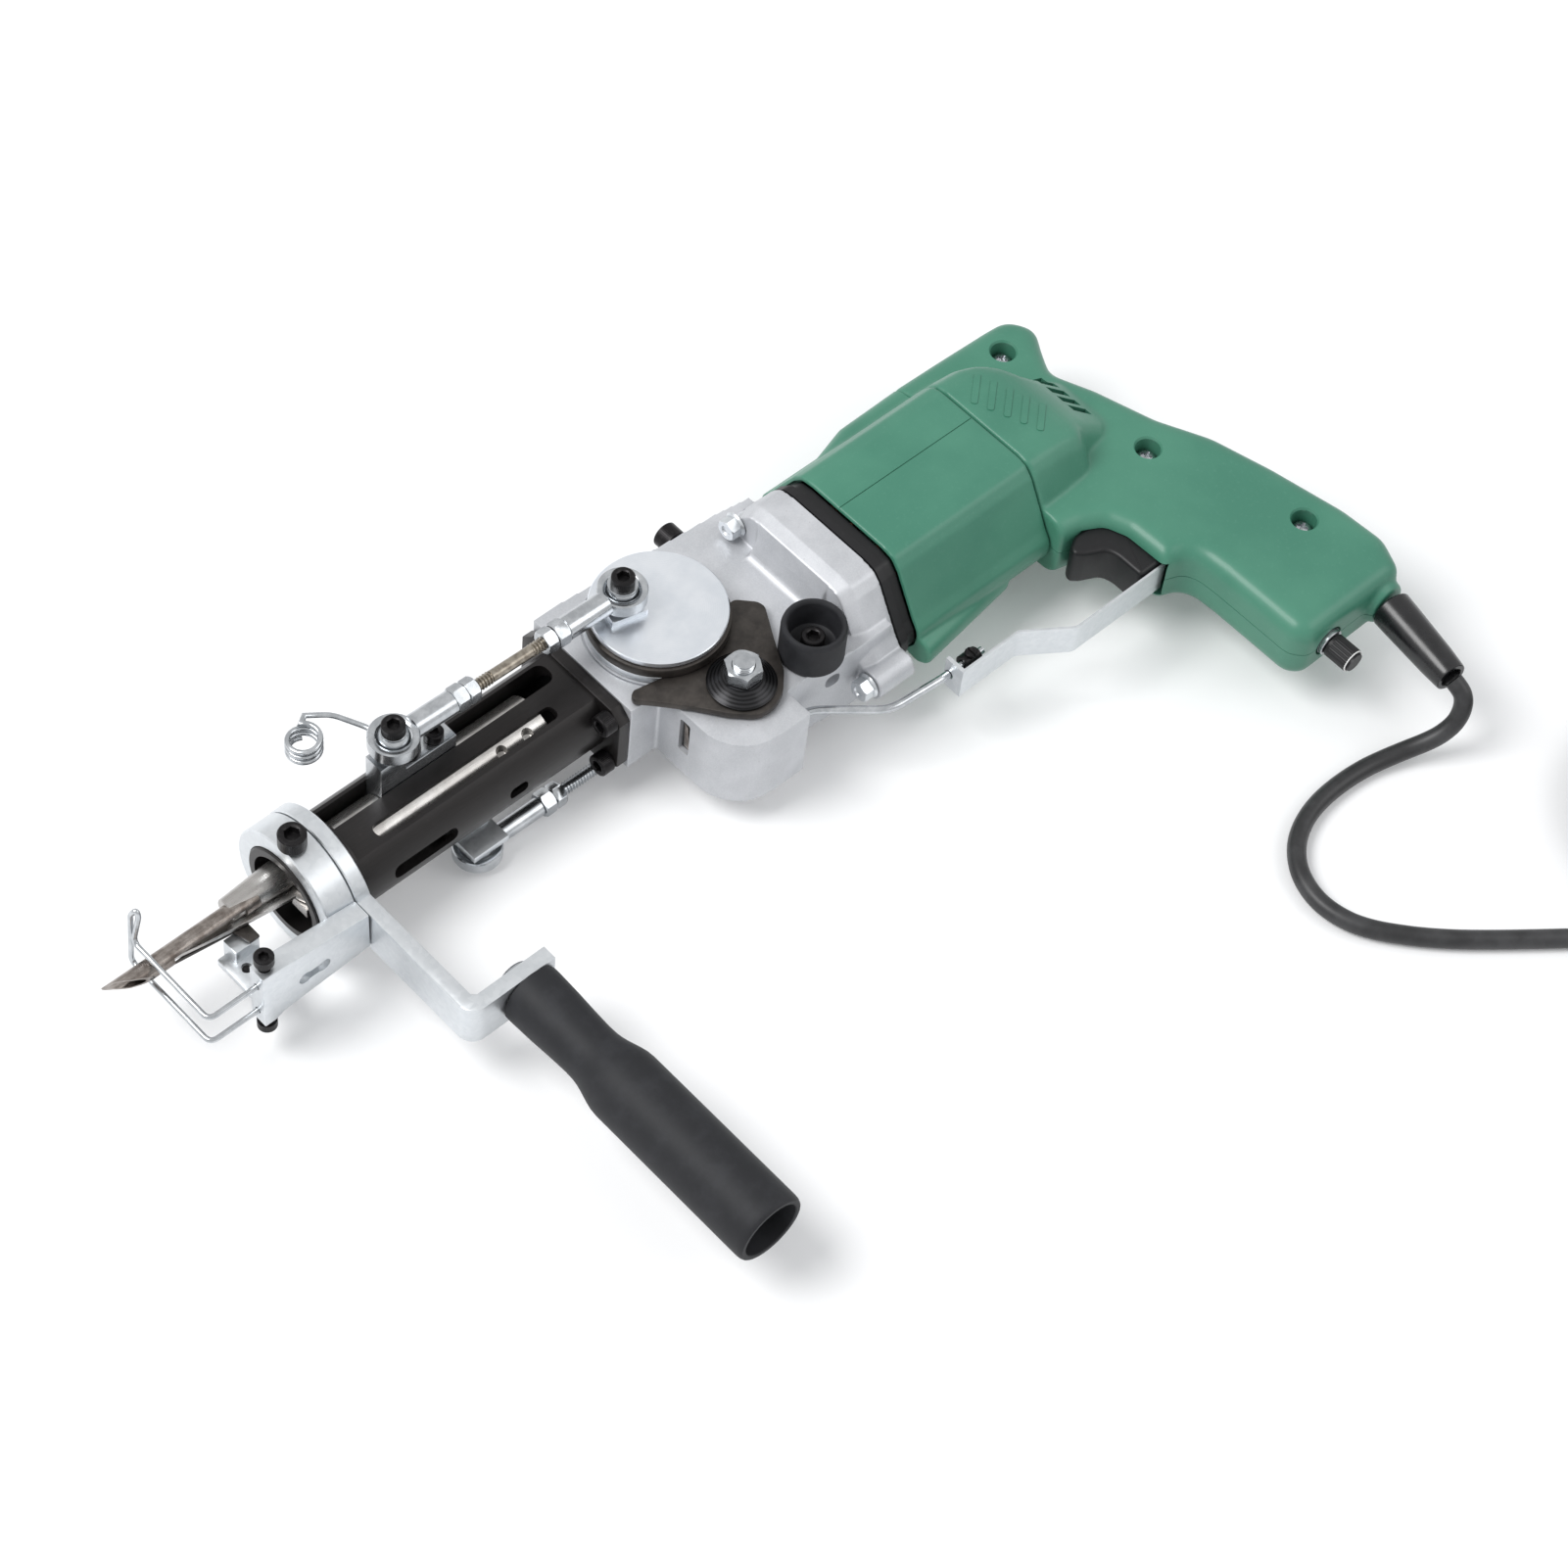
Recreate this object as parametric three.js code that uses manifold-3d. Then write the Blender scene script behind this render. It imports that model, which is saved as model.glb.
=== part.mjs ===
import * as THREE from 'three';
import { mergeVertices } from 'three/addons/utils/BufferGeometryUtils.js';
import Module from 'manifold-3d';

// Handheld tufting machine lying on its side: the needle points to -X, both handles to -Y.
// All sizes are in millimetres. Pieces are placed from the crank axis, whose disc top is at height 0.

const wasm = await Module();
wasm.setup();

// Sizes that many pieces share
const fit = 0.3;
const overrun = 2;
const roundSides = 24;
const ringSides = 32;
const smallSides = 12;
const bevelSteps = 2;

// Heights, worked down from the top of the crank disc
const discRadius = 24.8;
const discThickness = 2.6;
const camThickness = 4;
const rockerThickness = 3;
const rockerLift = 0.8;
const camTop = -discThickness - fit;
const rockerTop = camTop - camThickness - fit;
const castingTop = rockerTop - rockerThickness - rockerLift;
const castingHeight = 33;
const castingBottom = castingTop - castingHeight;
const barrelDepth = 15;
const axisZ = castingTop - barrelDepth;
const barrelY = 3.4;
const motorY = -15;

// Screws: shank radius, head radius, head height and socket radius
const smallShank = 2;
const smallHead = 3.5;
const smallHeadHeight = 4;
const smallSocket = 1.7;
const mediumShank = 2.5;
const mediumHead = 4.25;
const mediumHeadHeight = 5;
const mediumSocket = 2.2;
const largeShank = 3;
const largeHead = 5;
const largeHeadHeight = 6;
const largeSocket = 2.7;
const small = { shank: smallShank, head: smallHead, height: smallHeadHeight, socket: smallSocket };
const medium = { shank: mediumShank, head: mediumHead, height: mediumHeadHeight, socket: mediumSocket };
const large = { shank: largeShank, head: largeHead, height: largeHeadHeight, socket: largeSocket };
const socketDepthShare = 0.55;

// Materials
const paint = (color, roughness, metalness) => new THREE.MeshStandardMaterial({ color, roughness, metalness });
const castAluminium = paint(0xb9bcbf, 0.5, 0.7);
const zincPlate = paint(0xc6cbcf, 0.3, 0.9);
const brightSteel = paint(0xb4b1ad, 0.25, 0.95);
const darkSteel = paint(0x4a423c, 0.45, 0.8);
const blackAnodised = paint(0x1d1c1e, 0.4, 0.5);
const blackScrew = paint(0x232224, 0.45, 0.6);
const greenPlastic = paint(0x2f7d5e, 0.42, 0);
const blackPlastic = paint(0x1c1d1f, 0.5, 0);
const blackRubber = paint(0x26262a, 0.8, 0);
const copperWire = paint(0x8c6a4a, 0.5, 0.6);

// Closed mesh to solid and back

function solid(geometry) {
  const bare = geometry.clone();
  bare.deleteAttribute('normal');
  bare.deleteAttribute('uv');
  const merged = mergeVertices(bare);
  const places = merged.attributes.position.array;
  const corners = [];
  let volume = 0;
  const point = (index) => new THREE.Vector3().fromArray(places, index * 3);
  for (let at = 0; at < merged.index.count; at += 3) {
    const [a, b, c] = merged.index.array.slice(at, at + 3);
    if (a === b || b === c || c === a) continue;
    corners.push([a, b, c]);
    volume += point(a).dot(point(b).cross(point(c)));
  }
  const triVerts = Uint32Array.from(corners.flatMap(([a, b, c]) => (volume < 0 ? [a, c, b] : [a, b, c])));
  return new wasm.Manifold(new wasm.Mesh({ numProp: 3, vertProperties: places, triVerts }));
}

const machine = new THREE.Group();

function piece(name, shape, material, parent = machine) {
  const { vertProperties, triVerts } = shape.getMesh();
  const geometry = new THREE.BufferGeometry();
  geometry.setAttribute('position', new THREE.Float32BufferAttribute(vertProperties, 3));
  geometry.setIndex(new THREE.Uint32BufferAttribute(triVerts, 1));
  geometry.computeVertexNormals();
  const made = new THREE.Mesh(geometry, material);
  made.name = name;
  parent.add(made);
  return made;
}

// Basic solids

const joined = (...shapes) => shapes.reduce((whole, next) => whole.add(next));
const cut = (whole, ...tools) => tools.reduce((rest, tool) => rest.subtract(tool), whole);

function extruded(points, length, basis, start) {
  const shape = new THREE.Shape(points.map(([x, y]) => new THREE.Vector2(x, y)));
  const geometry = new THREE.ExtrudeGeometry(shape, { depth: length, bevelEnabled: false });
  geometry.applyMatrix4(new THREE.Matrix4().makeBasis(...basis));
  return solid(geometry.translate(...start));
}

const alongX = new THREE.Vector3(1, 0, 0);
const alongY = new THREE.Vector3(0, 1, 0);
const alongZ = new THREE.Vector3(0, 0, 1);
const prismZ = (points, low, high) => extruded(points, high - low, [alongX, alongY, alongZ], [0, 0, low]);
const prismX = (points, low, high) => extruded(points, high - low, [alongY, alongZ, alongX], [low, 0, 0]);
const prismY = (points, low, high) =>
  extruded(points, high - low, [alongX, alongZ, alongY.clone().negate()], [0, high, 0]);

const corners = (x0, x1, y0, y1) => [[x0, y0], [x1, y0], [x1, y1], [x0, y1]];
const box = (x0, x1, y0, y1, z0, z1) => prismZ(corners(x0, x1, y0, y1), z0, z1);

function aimed(geometry, from, direction) {
  const turn = new THREE.Quaternion().setFromUnitVectors(alongY, direction.clone().normalize());
  return solid(geometry.applyQuaternion(turn).translate(...from));
}

function bar(from, to, radius, sides = smallSides, endRadius = radius) {
  const way = new THREE.Vector3(...to).sub(new THREE.Vector3(...from));
  const length = way.length();
  const geometry = new THREE.CylinderGeometry(endRadius, radius, length, sides);
  return aimed(geometry.translate(0, length / 2, 0), from, way);
}

function turned(profile, from, direction, sides = smallSides) {
  const points = profile.map(([radius, along]) => new THREE.Vector2(radius, along));
  return aimed(new THREE.LatheGeometry(points, sides), from, direction);
}

function slab(points, low, high, round, inset) {
  const shape = new THREE.Shape(points.map(([x, y]) => new THREE.Vector2(x, y)));
  const geometry = new THREE.ExtrudeGeometry(shape, {
    depth: high - low - round * 2,
    bevelThickness: round,
    bevelSize: round,
    bevelOffset: -round - inset,
    bevelSegments: inset ? 1 : bevelSteps,
  });
  return solid(geometry.translate(0, 0, low + round));
}

function skin(rings) {
  const around = rings[0].length;
  const middle = (ring) => ring.reduce((sum, p) => sum.add(p), new THREE.Vector3()).divideScalar(around);
  const places = [...rings.flat(), middle(rings[0]), middle(rings.at(-1))];
  const first = places.length - 2;
  const last = places.length - 1;
  const index = [];
  for (let side = 0; side < around; side += 1) {
    const next = (side + 1) % around;
    for (let row = 0; row < rings.length - 1; row += 1) {
      const a = row * around + side;
      const b = row * around + next;
      index.push(a, b, b + around, a, b + around, a + around);
    }
    const end = (rings.length - 1) * around;
    index.push(first, next, side, last, end + side, end + next);
  }
  const geometry = new THREE.BufferGeometry().setFromPoints(places);
  geometry.setIndex(index);
  return solid(geometry);
}

function wire(curve, radius, steps, sides) {
  const ring = [];
  for (let side = 0; side < sides; side += 1) {
    const angle = (Math.PI * 2 * side) / sides;
    ring.push(new THREE.Vector2(Math.cos(angle), Math.sin(angle)).multiplyScalar(radius));
  }
  return solid(new THREE.ExtrudeGeometry(new THREE.Shape(ring), { steps, bevelEnabled: false, extrudePath: curve }));
}

// A bent wire: straight lengths that meet on the plane halfway between their directions
function wireThrough(places, radius, sides) {
  const points = places.map((at) => new THREE.Vector3(...at));
  const ways = points.slice(1).map((to, at) => to.clone().sub(points[at]).normalize());
  const turn = new THREE.Quaternion().setFromUnitVectors(alongZ, ways[0]);
  let ring = Array.from({ length: sides }, (_, side) => {
    const angle = (Math.PI * 2 * side) / sides;
    const spoke = new THREE.Vector3(Math.cos(angle) * radius, Math.sin(angle) * radius, 0);
    return spoke.applyQuaternion(turn).add(points[0]);
  });
  const rings = [ring];
  for (let at = 1; at < points.length; at += 1) {
    const way = ways[at - 1];
    const normal = way.clone().add(ways[at] ?? way).normalize();
    const reach = way.dot(normal);
    ring = ring.map((from) =>
      from.clone().addScaledVector(way, points[at].clone().sub(from).dot(normal) / reach));
    rings.push(ring);
  }
  return skin(rings);
}

const moved = (from, direction, distance) => from.map((value, at) => value + direction[at] * distance);

function socketScrew(seat, direction, length, size) {
  const profile = [
    [0, -length],
    [size.shank, -length],
    [size.shank, 0],
    [size.head, 0],
    [size.head, size.height],
    [0, size.height],
  ];
  const body = turned(profile, seat, new THREE.Vector3(...direction));
  const socketDepth = size.height * socketDepthShare;
  const floor = moved(seat, direction, size.height - socketDepth);
  return cut(body, bar(floor, moved(seat, direction, size.height + overrun), size.socket, 6));
}

const placed = (shares, startX, startY, sizeX, sizeY) =>
  shares.map(([x, y]) => [startX + x * sizeX, startY + y * sizeY]);

// Gearbox casting: a block with a round-nosed bulge on the near side and a raised rim for the motor
const castingFront = -31.6;
const castingFarY = 29;
const castingFarRearY = 24;
const tubeRadius = 18.6;
const flangeMargin = 7;
const castingNearY = barrelY - tubeRadius - flangeMargin;
const bulgeFrontX = -18.3;
const bulgeNearY = -62;
const bulgeRadius = 18.5;
const bulgeRearX = 15.5;
const wallNearY = -50;
const rimFrontX = 49.5;
const rimLength = 16.5;
const rimRearX = rimFrontX + rimLength;
const rimWall = 4.5;
const rampRun = 5.5;
const rampShares = [[0, 0], [0.45, 0.12], [0.82, 0.5], [1, 1]];
const motorHalfWidth = 41.7;
const motorHalfHeight = 31.5;
const rimFrontShare = 0.95;
const sectionShares = [[0.44, 1], [0.57, 0.97], [0.66, 0.84], [0.91, 0.26], [0.98, 0.13], [1, 0]];
const earRadius = 6;
const wormOffset = -motorY;
const wormRadius = 3.6;
const wheelRadius = wormOffset - wormRadius - fit;
const wheelHalfHeight = 4;
const crankShaftRadius = 5;
const rockerX = 3.9;
const rockerY = -39.1;
const rockerShaftRadius = 4;
const webFrontX = 24;
const webNearY = -52.4;
const webHoleX = 37.4;
const webHoleZ = -22;
const webHoleDepth = 5;
const webHoleRadius = 3;
const brakeSlotNear = -38;
const brakeSlotWidth = 5;
const brakeSlotTop = -15;
const brakeSlotHeight = 17;
const brakeSlotDepth = 4;

function motorSection(inset, scale = 1) {
  const wide = motorHalfWidth * scale - inset;
  const tall = motorHalfHeight * scale - inset;
  const quarter = sectionShares.map(([y, z]) => [y * wide, z * tall]);
  const lower = quarter.slice(0, -1).reverse().map(([y, z]) => [y, -z]);
  const right = [...quarter, ...lower];
  const left = right.map(([y, z]) => [-y, z]).reverse();
  return [...right, ...left].map(([y, z]) => [y + motorY, z + axisZ]);
}

const sectionRing = (x, inset, scale) => motorSection(inset, scale).map(([y, z]) => new THREE.Vector3(x, y, z));

const farBoltY = 13;
const farBoltRise = 20.3;
const nearBoltY = -58.2;
const nearBoltDrop = 1.5;
const farBolt = [rimFrontX, farBoltY, axisZ + farBoltRise];
const nearBolt = [rimFrontX, nearBoltY, axisZ - nearBoltDrop];

function castingPlan() {
  const plan = new THREE.Path();
  plan.moveTo(castingFront, castingNearY);
  plan.lineTo(bulgeFrontX, castingNearY);
  plan.lineTo(bulgeFrontX, bulgeNearY + bulgeRadius);
  plan.absarc(bulgeFrontX + bulgeRadius, bulgeNearY + bulgeRadius, bulgeRadius, Math.PI, Math.PI * 1.5);
  plan.lineTo(bulgeRearX, bulgeNearY);
  plan.lineTo(bulgeRearX, wallNearY);
  plan.lineTo(webFrontX, wallNearY);
  plan.lineTo(rimFrontX, webNearY);
  plan.lineTo(rimRearX - overrun, webNearY);
  plan.lineTo(rimRearX - overrun, castingFarRearY - overrun);
  plan.lineTo(rimFrontX, castingFarRearY);
  plan.lineTo(bulgeFrontX, castingFarY);
  plan.lineTo(castingFront, castingFarY);
  return plan.getPoints(6).map(({ x, y }) => [x, y]);
}

function gearboxCasting() {
  const block = prismZ(castingPlan(), castingBottom, castingTop);
  const rim = skin([sectionRing(rimFrontX, 0, rimFrontShare), sectionRing(rimFrontX + rampRun, 0),
    sectionRing(rimRearX, 0)]);
  const rimTop = axisZ + motorHalfHeight * rimFrontShare;
  const rise = rimTop - castingTop;
  const slope = placed(rampShares, rimFrontX - rampRun, castingTop, rampRun, rise);
  slope.push([rimFrontX + overrun, rimTop], [rimFrontX + overrun, castingTop - overrun]);
  slope.push([rimFrontX - rampRun, castingTop - overrun]);
  const flatHalf = sectionShares[0][0] * motorHalfWidth * rimFrontShare;
  const ramp = prismY(slope, motorY - flatHalf, motorY + flatHalf);
  const ear = bar(nearBolt, [rimRearX, nearBolt[1], nearBolt[2]], earRadius, smallSides);
  const body = joined(block, rim, ramp, ear);
  const mouth = bar([rimFrontX + rimWall, motorY, axisZ], [rimRearX + overrun, motorY, axisZ],
    motorHalfHeight - rimWall, roundSides);
  const tunnel = bar([-wheelRadius - overrun, motorY, axisZ], [rimRearX, motorY, axisZ], wormRadius + overrun);
  const wheelRoom = bar([0, 0, castingBottom - overrun], [0, 0, axisZ + wheelHalfHeight + overrun],
    wheelRadius + overrun, roundSides);
  const shaftRoom = bar([0, 0, axisZ], [0, 0, castingTop + overrun], crankShaftRadius + fit);
  const rockerRoom = bar([rockerX, rockerY, castingBottom - overrun],
    [rockerX, rockerY, castingTop + overrun], rockerShaftRadius + fit);
  const webHole = bar([webHoleX, webNearY - overrun, webHoleZ], [webHoleX, webNearY + webHoleDepth, webHoleZ],
    webHoleRadius, smallSides);
  const slotBack = bulgeFrontX + brakeSlotDepth;
  const brakeSlot = box(bulgeFrontX - overrun, slotBack, brakeSlotNear, brakeSlotNear + brakeSlotWidth,
    brakeSlotTop - brakeSlotHeight, brakeSlotTop);
  const rodRoom = bar([bulgeRearX - rodDepth, rodY, axisZ], [bulgeRearX + overrun, rodY, axisZ], rodRadius + fit);
  const sliderRoom = bar([castingFront - overrun, barrelY, axisZ],
    [castingFront + recessDepth, barrelY, axisZ], boreRadius + fit, roundSides);
  const boltRooms = [farBolt, nearBolt].map((at) =>
    bar(moved(at, [-1, 0, 0], overrun), moved(at, [1, 0, 0], boltLength + fit), mediumShank + fit));
  const screwRooms = flangeScrews.map((at) =>
    bar(moved(at, [-1, 0, 0], overrun), moved(at, [1, 0, 0], flangeScrewLength + fit), mediumShank + fit));
  const cupRoom = bar([cupX, cupY, castingTop - cupScrewDepth], [cupX, cupY, castingTop + overrun],
    mediumShank + fit);
  const capRoom = bar([capX, capSeatY - capLength, capZ], [capX, capSeatY + overrun, capZ], mediumShank + fit);
  return cut(body, mouth, tunnel, wheelRoom, shaftRoom, rockerRoom, webHole, brakeSlot, rodRoom, sliderRoom,
    ...boltRooms, ...screwRooms, cupRoom, capRoom);
}

// Hex flange bolts that hold the motor
const boltLength = 12;
const boltFlangeRadius = 4.9;
const boltFlangeThickness = 1.2;
const boltHexRadius = 4.2;
const boltHexHeight = 4;

function flangeBolt(at) {
  const seat = moved(at, [-1, 0, 0], fit);
  const face = moved(seat, [-1, 0, 0], boltFlangeThickness);
  const end = moved(seat, [1, 0, 0], boltLength);
  return joined(bar(face, seat, boltFlangeRadius), bar(moved(face, [-1, 0, 0], boltHexHeight), face, boltHexRadius, 6),
    bar(seat, end, mediumShank));
}

// Black cap screw on the far side of the casting
const capX = 33;
const capSeatY = 26;
const capZ = -17;
const capLength = 10;
const capHeadRadius = 5;
const capHeadHeight = 6.5;

// Rubber cup and the screw in it
const cupX = 33.9;
const cupY = -42.7;
const cupRadius = 11.8;
const cupWall = 2.5;
const cupBase = 4;
const cupHeight = 15.7;
const cupScrewDepth = 8;

function rubberCup() {
  const low = castingTop + fit;
  const body = bar([cupX, cupY, low], [cupX, cupY, low + cupHeight], cupRadius, roundSides);
  const hollow = bar([cupX, cupY, low + cupBase], [cupX, cupY, low + cupHeight + overrun],
    cupRadius - cupWall, roundSides);
  const hole = bar([cupX, cupY, low - overrun], [cupX, cupY, low + cupBase + overrun], mediumShank + fit);
  return cut(body, hollow, hole);
}

// Slotted tube: round collar in front, flats above and below, square flange behind
const tubeWall = 6;
const mouthWall = 3.3;
const flatDepth = 4.9;
const tubeFlat = tubeRadius - flatDepth;
const tubeFront = -163.5;
const collarLength = 22;
const boreRadius = tubeRadius - tubeWall;
const mouthRadius = tubeRadius - mouthWall;
const mouthDepth = 12;
const recessDepth = 9;
const flangeThickness = 4.8;
const flangeCut = 5;
const flangeRear = castingFront - fit;
const flangeFront = flangeRear - flangeThickness;
const slotAOffset = 6.9;
const slotAY = barrelY + slotAOffset;
const slotAWidth = 8.8;
const slotAFront = -144;
const slotALength = 103;
const slotBOffset = 7.5;
const slotBY = barrelY - slotBOffset;
const slotBWidth = 6;
const slotBFront = -130;
const slotBLength = 79.5;
const nearSlotFront = -131;
const nearSlotLength = 28;
const nearSlotHeight = 8.6;
const nearHoleFront = -79.7;
const nearHoleLength = 8;
const nearHoleHeight = 5.5;
const nearHoleRise = 0.5;
const lowSlotFront = -124;
const lowSlotLength = 64;
const flangeScrewLength = 14;
const flangeScrewRise = 11.5;
const flangeScrewInset = 4.7;
const flangeMiddle = (castingTop + castingBottom) / 2;
const flangeScrews = [flangeScrewRise, -flangeScrewRise].map((rise) =>
  [castingFront, castingNearY + flangeScrewInset, flangeMiddle + rise]);

function slottedTube() {
  const round = bar([tubeFront, barrelY, axisZ], [flangeRear, barrelY, axisZ], tubeRadius, roundSides);
  const flats = [1, -1].map((side) => {
    const near = axisZ + side * tubeFlat;
    const far = axisZ + side * (tubeRadius + overrun);
    return box(tubeFront + collarLength, flangeRear + overrun, barrelY - tubeRadius, barrelY + tubeRadius,
      Math.min(near, far), Math.max(near, far));
  });
  const flangeOutline = [
    [castingNearY + flangeCut, castingBottom],
    [castingFarY - flangeCut, castingBottom],
    [castingFarY, castingBottom + flangeCut],
    [castingFarY, castingTop - flangeCut],
    [castingFarY - flangeCut, castingTop],
    [castingNearY + flangeCut, castingTop],
    [castingNearY, castingTop - flangeCut],
    [castingNearY, castingBottom + flangeCut],
  ];
  const flange = prismX(flangeOutline, flangeFront, flangeRear);
  const bore = bar([tubeFront - overrun, barrelY, axisZ], [flangeRear + overrun, barrelY, axisZ],
    boreRadius, roundSides);
  const mouth = bar([tubeFront - overrun, barrelY, axisZ], [tubeFront + mouthDepth, barrelY, axisZ],
    mouthRadius, roundSides);
  const above = axisZ + tubeRadius + overrun;
  const below = axisZ - tubeRadius - overrun;
  const slotA = box(slotAFront, slotAFront + slotALength, slotAY - slotAWidth / 2, slotAY + slotAWidth / 2,
    axisZ, above);
  const slotB = box(slotBFront, slotBFront + slotBLength, slotBY - slotBWidth / 2, slotBY + slotBWidth / 2,
    axisZ, above);
  const lowSlot = box(lowSlotFront, lowSlotFront + lowSlotLength, slotBY - slotBWidth / 2,
    slotBY + slotBWidth / 2, below, axisZ);
  const nearFace = barrelY - tubeRadius - overrun;
  const nearSlot = box(nearSlotFront, nearSlotFront + nearSlotLength, nearFace, barrelY,
    axisZ - nearSlotHeight / 2, axisZ + nearSlotHeight / 2);
  const nearHoleZ = axisZ + nearHoleRise;
  const nearHole = box(nearHoleFront, nearHoleFront + nearHoleLength, nearFace, barrelY,
    nearHoleZ - nearHoleHeight / 2, nearHoleZ + nearHoleHeight / 2);
  const screwRooms = flangeScrews.map(([x, y, z]) =>
    bar([flangeFront - overrun, y, z], [x + overrun, y, z], mediumShank + fit));
  return cut(joined(cut(round, ...flats), flange), bore, mouth, slotA, slotB, lowSlot, nearSlot, nearHole,
    ...screwRooms);
}

// Needle slider in the upper part of the bore, with its tapered nose
const noseOffset = 6;
const noseRise = 2.5;
const noseY = barrelY + noseOffset;
const noseZ = axisZ + noseRise;
const needleOffset = 4;
const needleRise = 2.7;
const needleY = barrelY + needleOffset;
const needleZ = axisZ + needleRise;
const needleRadius = 3.6;
const needleWall = 1;
const needleLength = 61;
const needleRear = -172;
const needleTip = needleRear - needleLength;
const lipShare = 0.35;
const openShare = 0.9;
const openAngles = [130, 180, 280];
const pointLength = 12;
const noseFront = -183;
const noseFrontRadius = 4.3;
const noseRadius = 5.7;
const noseLength = 20.5;
const sliderRear = -54;
const sliderFront = -158;
const partingDrop = 0.6;
const partingZ = axisZ - partingDrop;
const bracketFront = -118.8;
const bracketLength = 33;
const bracketHeadLength = 11;
const bracketSeatRise = 5.3;
const bracketSeatZ = axisZ + bracketSeatRise;
const bracketTop = 1.8;
const bracketStepTop = -6.6;
const bracketHalf = slotAWidth / 2 - fit;
const bracketScrewFrontX = -102.6;
const bracketScrewRearX = -92.5;
const bracketScrewLength = 17.4;
const sliderMarkShares = [0.807, 0.917];
const sliderMarkRadius = 2.3;
const sliderMarkDepth = 5;

function needleSlider() {
  const body = bar([sliderFront, barrelY, axisZ], [sliderRear, barrelY, axisZ], boreRadius - fit, roundSides);
  const cone = bar([noseFront, noseY, noseZ], [noseFront + noseLength, noseY, noseZ], noseFrontRadius, 24,
    noseRadius);
  const neck = bar([noseFront + noseLength, noseY, noseZ], [sliderFront + overrun, noseY, noseZ],
    noseRadius, 24);
  const underside = box(noseFront - overrun, sliderRear + overrun, barrelY - boreRadius * 2,
    barrelY + boreRadius * 2, axisZ - boreRadius * 2, partingZ);
  const needleRoom = bar([noseFront - overrun, needleY, needleZ], [needleRear + fit, needleY, needleZ],
    needleRadius + fit, 20);
  const seat = box(bracketFront - fit, bracketFront + bracketLength + fit, slotAY - slotAWidth / 2,
    slotAY + slotAWidth / 2, bracketSeatZ - fit, axisZ + boreRadius + overrun);
  const screwRooms = [bracketScrewFrontX, bracketScrewRearX].map((x) =>
    bar([x, slotAY, bracketStepTop - bracketScrewLength - fit], [x, slotAY, axisZ + boreRadius + overrun],
      smallShank + fit));
  const marks = sliderMarkShares.map((share) => {
    const x = sliderFront + (sliderRear - sliderFront) * share;
    const top = axisZ + boreRadius;
    return bar([x, slotBY, top - sliderMarkDepth], [x, slotBY, top + overrun], sliderMarkRadius);
  });
  return cut(joined(body, cone, neck), underside, needleRoom, seat, ...screwRooms, ...marks);
}

// Needle: a hollow gouge, open on the near side, with its lower lip kept in front of the blades
function needle() {
  const whole = bar([needleTip, needleY, needleZ], [needleRear, needleY, needleZ], needleRadius, 20);
  const channel = bar([needleTip - overrun, needleY, needleZ], [needleRear + overrun, needleY, needleZ],
    needleRadius - needleWall, 16);
  const side = needleRadius * 2;
  const wedge = (first, last, from, to) => {
    const middle = (first + last) / 2;
    const corners = [first, middle, last].map((degrees) => {
      const angle = THREE.MathUtils.degToRad(degrees);
      return [needleY + side * Math.cos(angle), needleZ + side * Math.sin(angle)];
    });
    return prismX([[needleY, needleZ], ...corners], from, to);
  };
  const [high, level, low] = openAngles;
  const lipEnd = needleTip + needleLength * lipShare;
  const openFront = wedge(high, level, needleTip - overrun, lipEnd + overrun);
  const openRear = wedge(high, low, lipEnd, needleTip + needleLength * openShare);
  const slant = [
    [needleTip - overrun, needleZ + needleRadius],
    [needleTip, needleZ + needleRadius],
    [needleTip + pointLength, needleZ - needleRadius],
    [needleTip + pointLength, needleZ - side],
    [needleTip - overrun, needleZ - side],
  ];
  return cut(whole, channel, openFront, openRear, prismY(slant, needleY - side, needleY + side));
}

// Bracket that stands on the needle slider, its screws and the wire yarn guide
const rodZ = 8;
const ballRadius = 6;
const ballHalfHeight = 4;
const pinShank = 2.5;
const pinDepth = 9;
const guideRadius = 1;
const guideTurns = 3;
const guideSteps = 8;
const guideStartAngle = Math.PI / 3;
const guideCoilRadius = 5.6;
const guidePitch = 2.7;
const guideX = -131.5;
const guideFarY = 31;
const guideLowZ = -1.6;

function sliderBracket() {
  const rear = bracketFront + bracketLength;
  const profile = [
    [bracketFront, bracketSeatZ],
    [rear, bracketSeatZ],
    [rear, bracketStepTop],
    [bracketFront + bracketHeadLength, bracketStepTop],
    [bracketFront + bracketHeadLength, bracketTop],
    [bracketFront, bracketTop],
  ];
  const body = prismY(profile, slotAY - bracketHalf, slotAY + bracketHalf);
  const pinRoom = bar([frontPinX, slotAY, bracketTop - pinDepth - fit], [frontPinX, slotAY, bracketTop + overrun],
    pinShank + fit);
  const screwRooms = [bracketScrewFrontX, bracketScrewRearX].map((x) =>
    bar([x, slotAY, bracketSeatZ - overrun], [x, slotAY, bracketStepTop + overrun], smallShank + fit));
  return cut(body, pinRoom, ...screwRooms);
}

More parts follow.
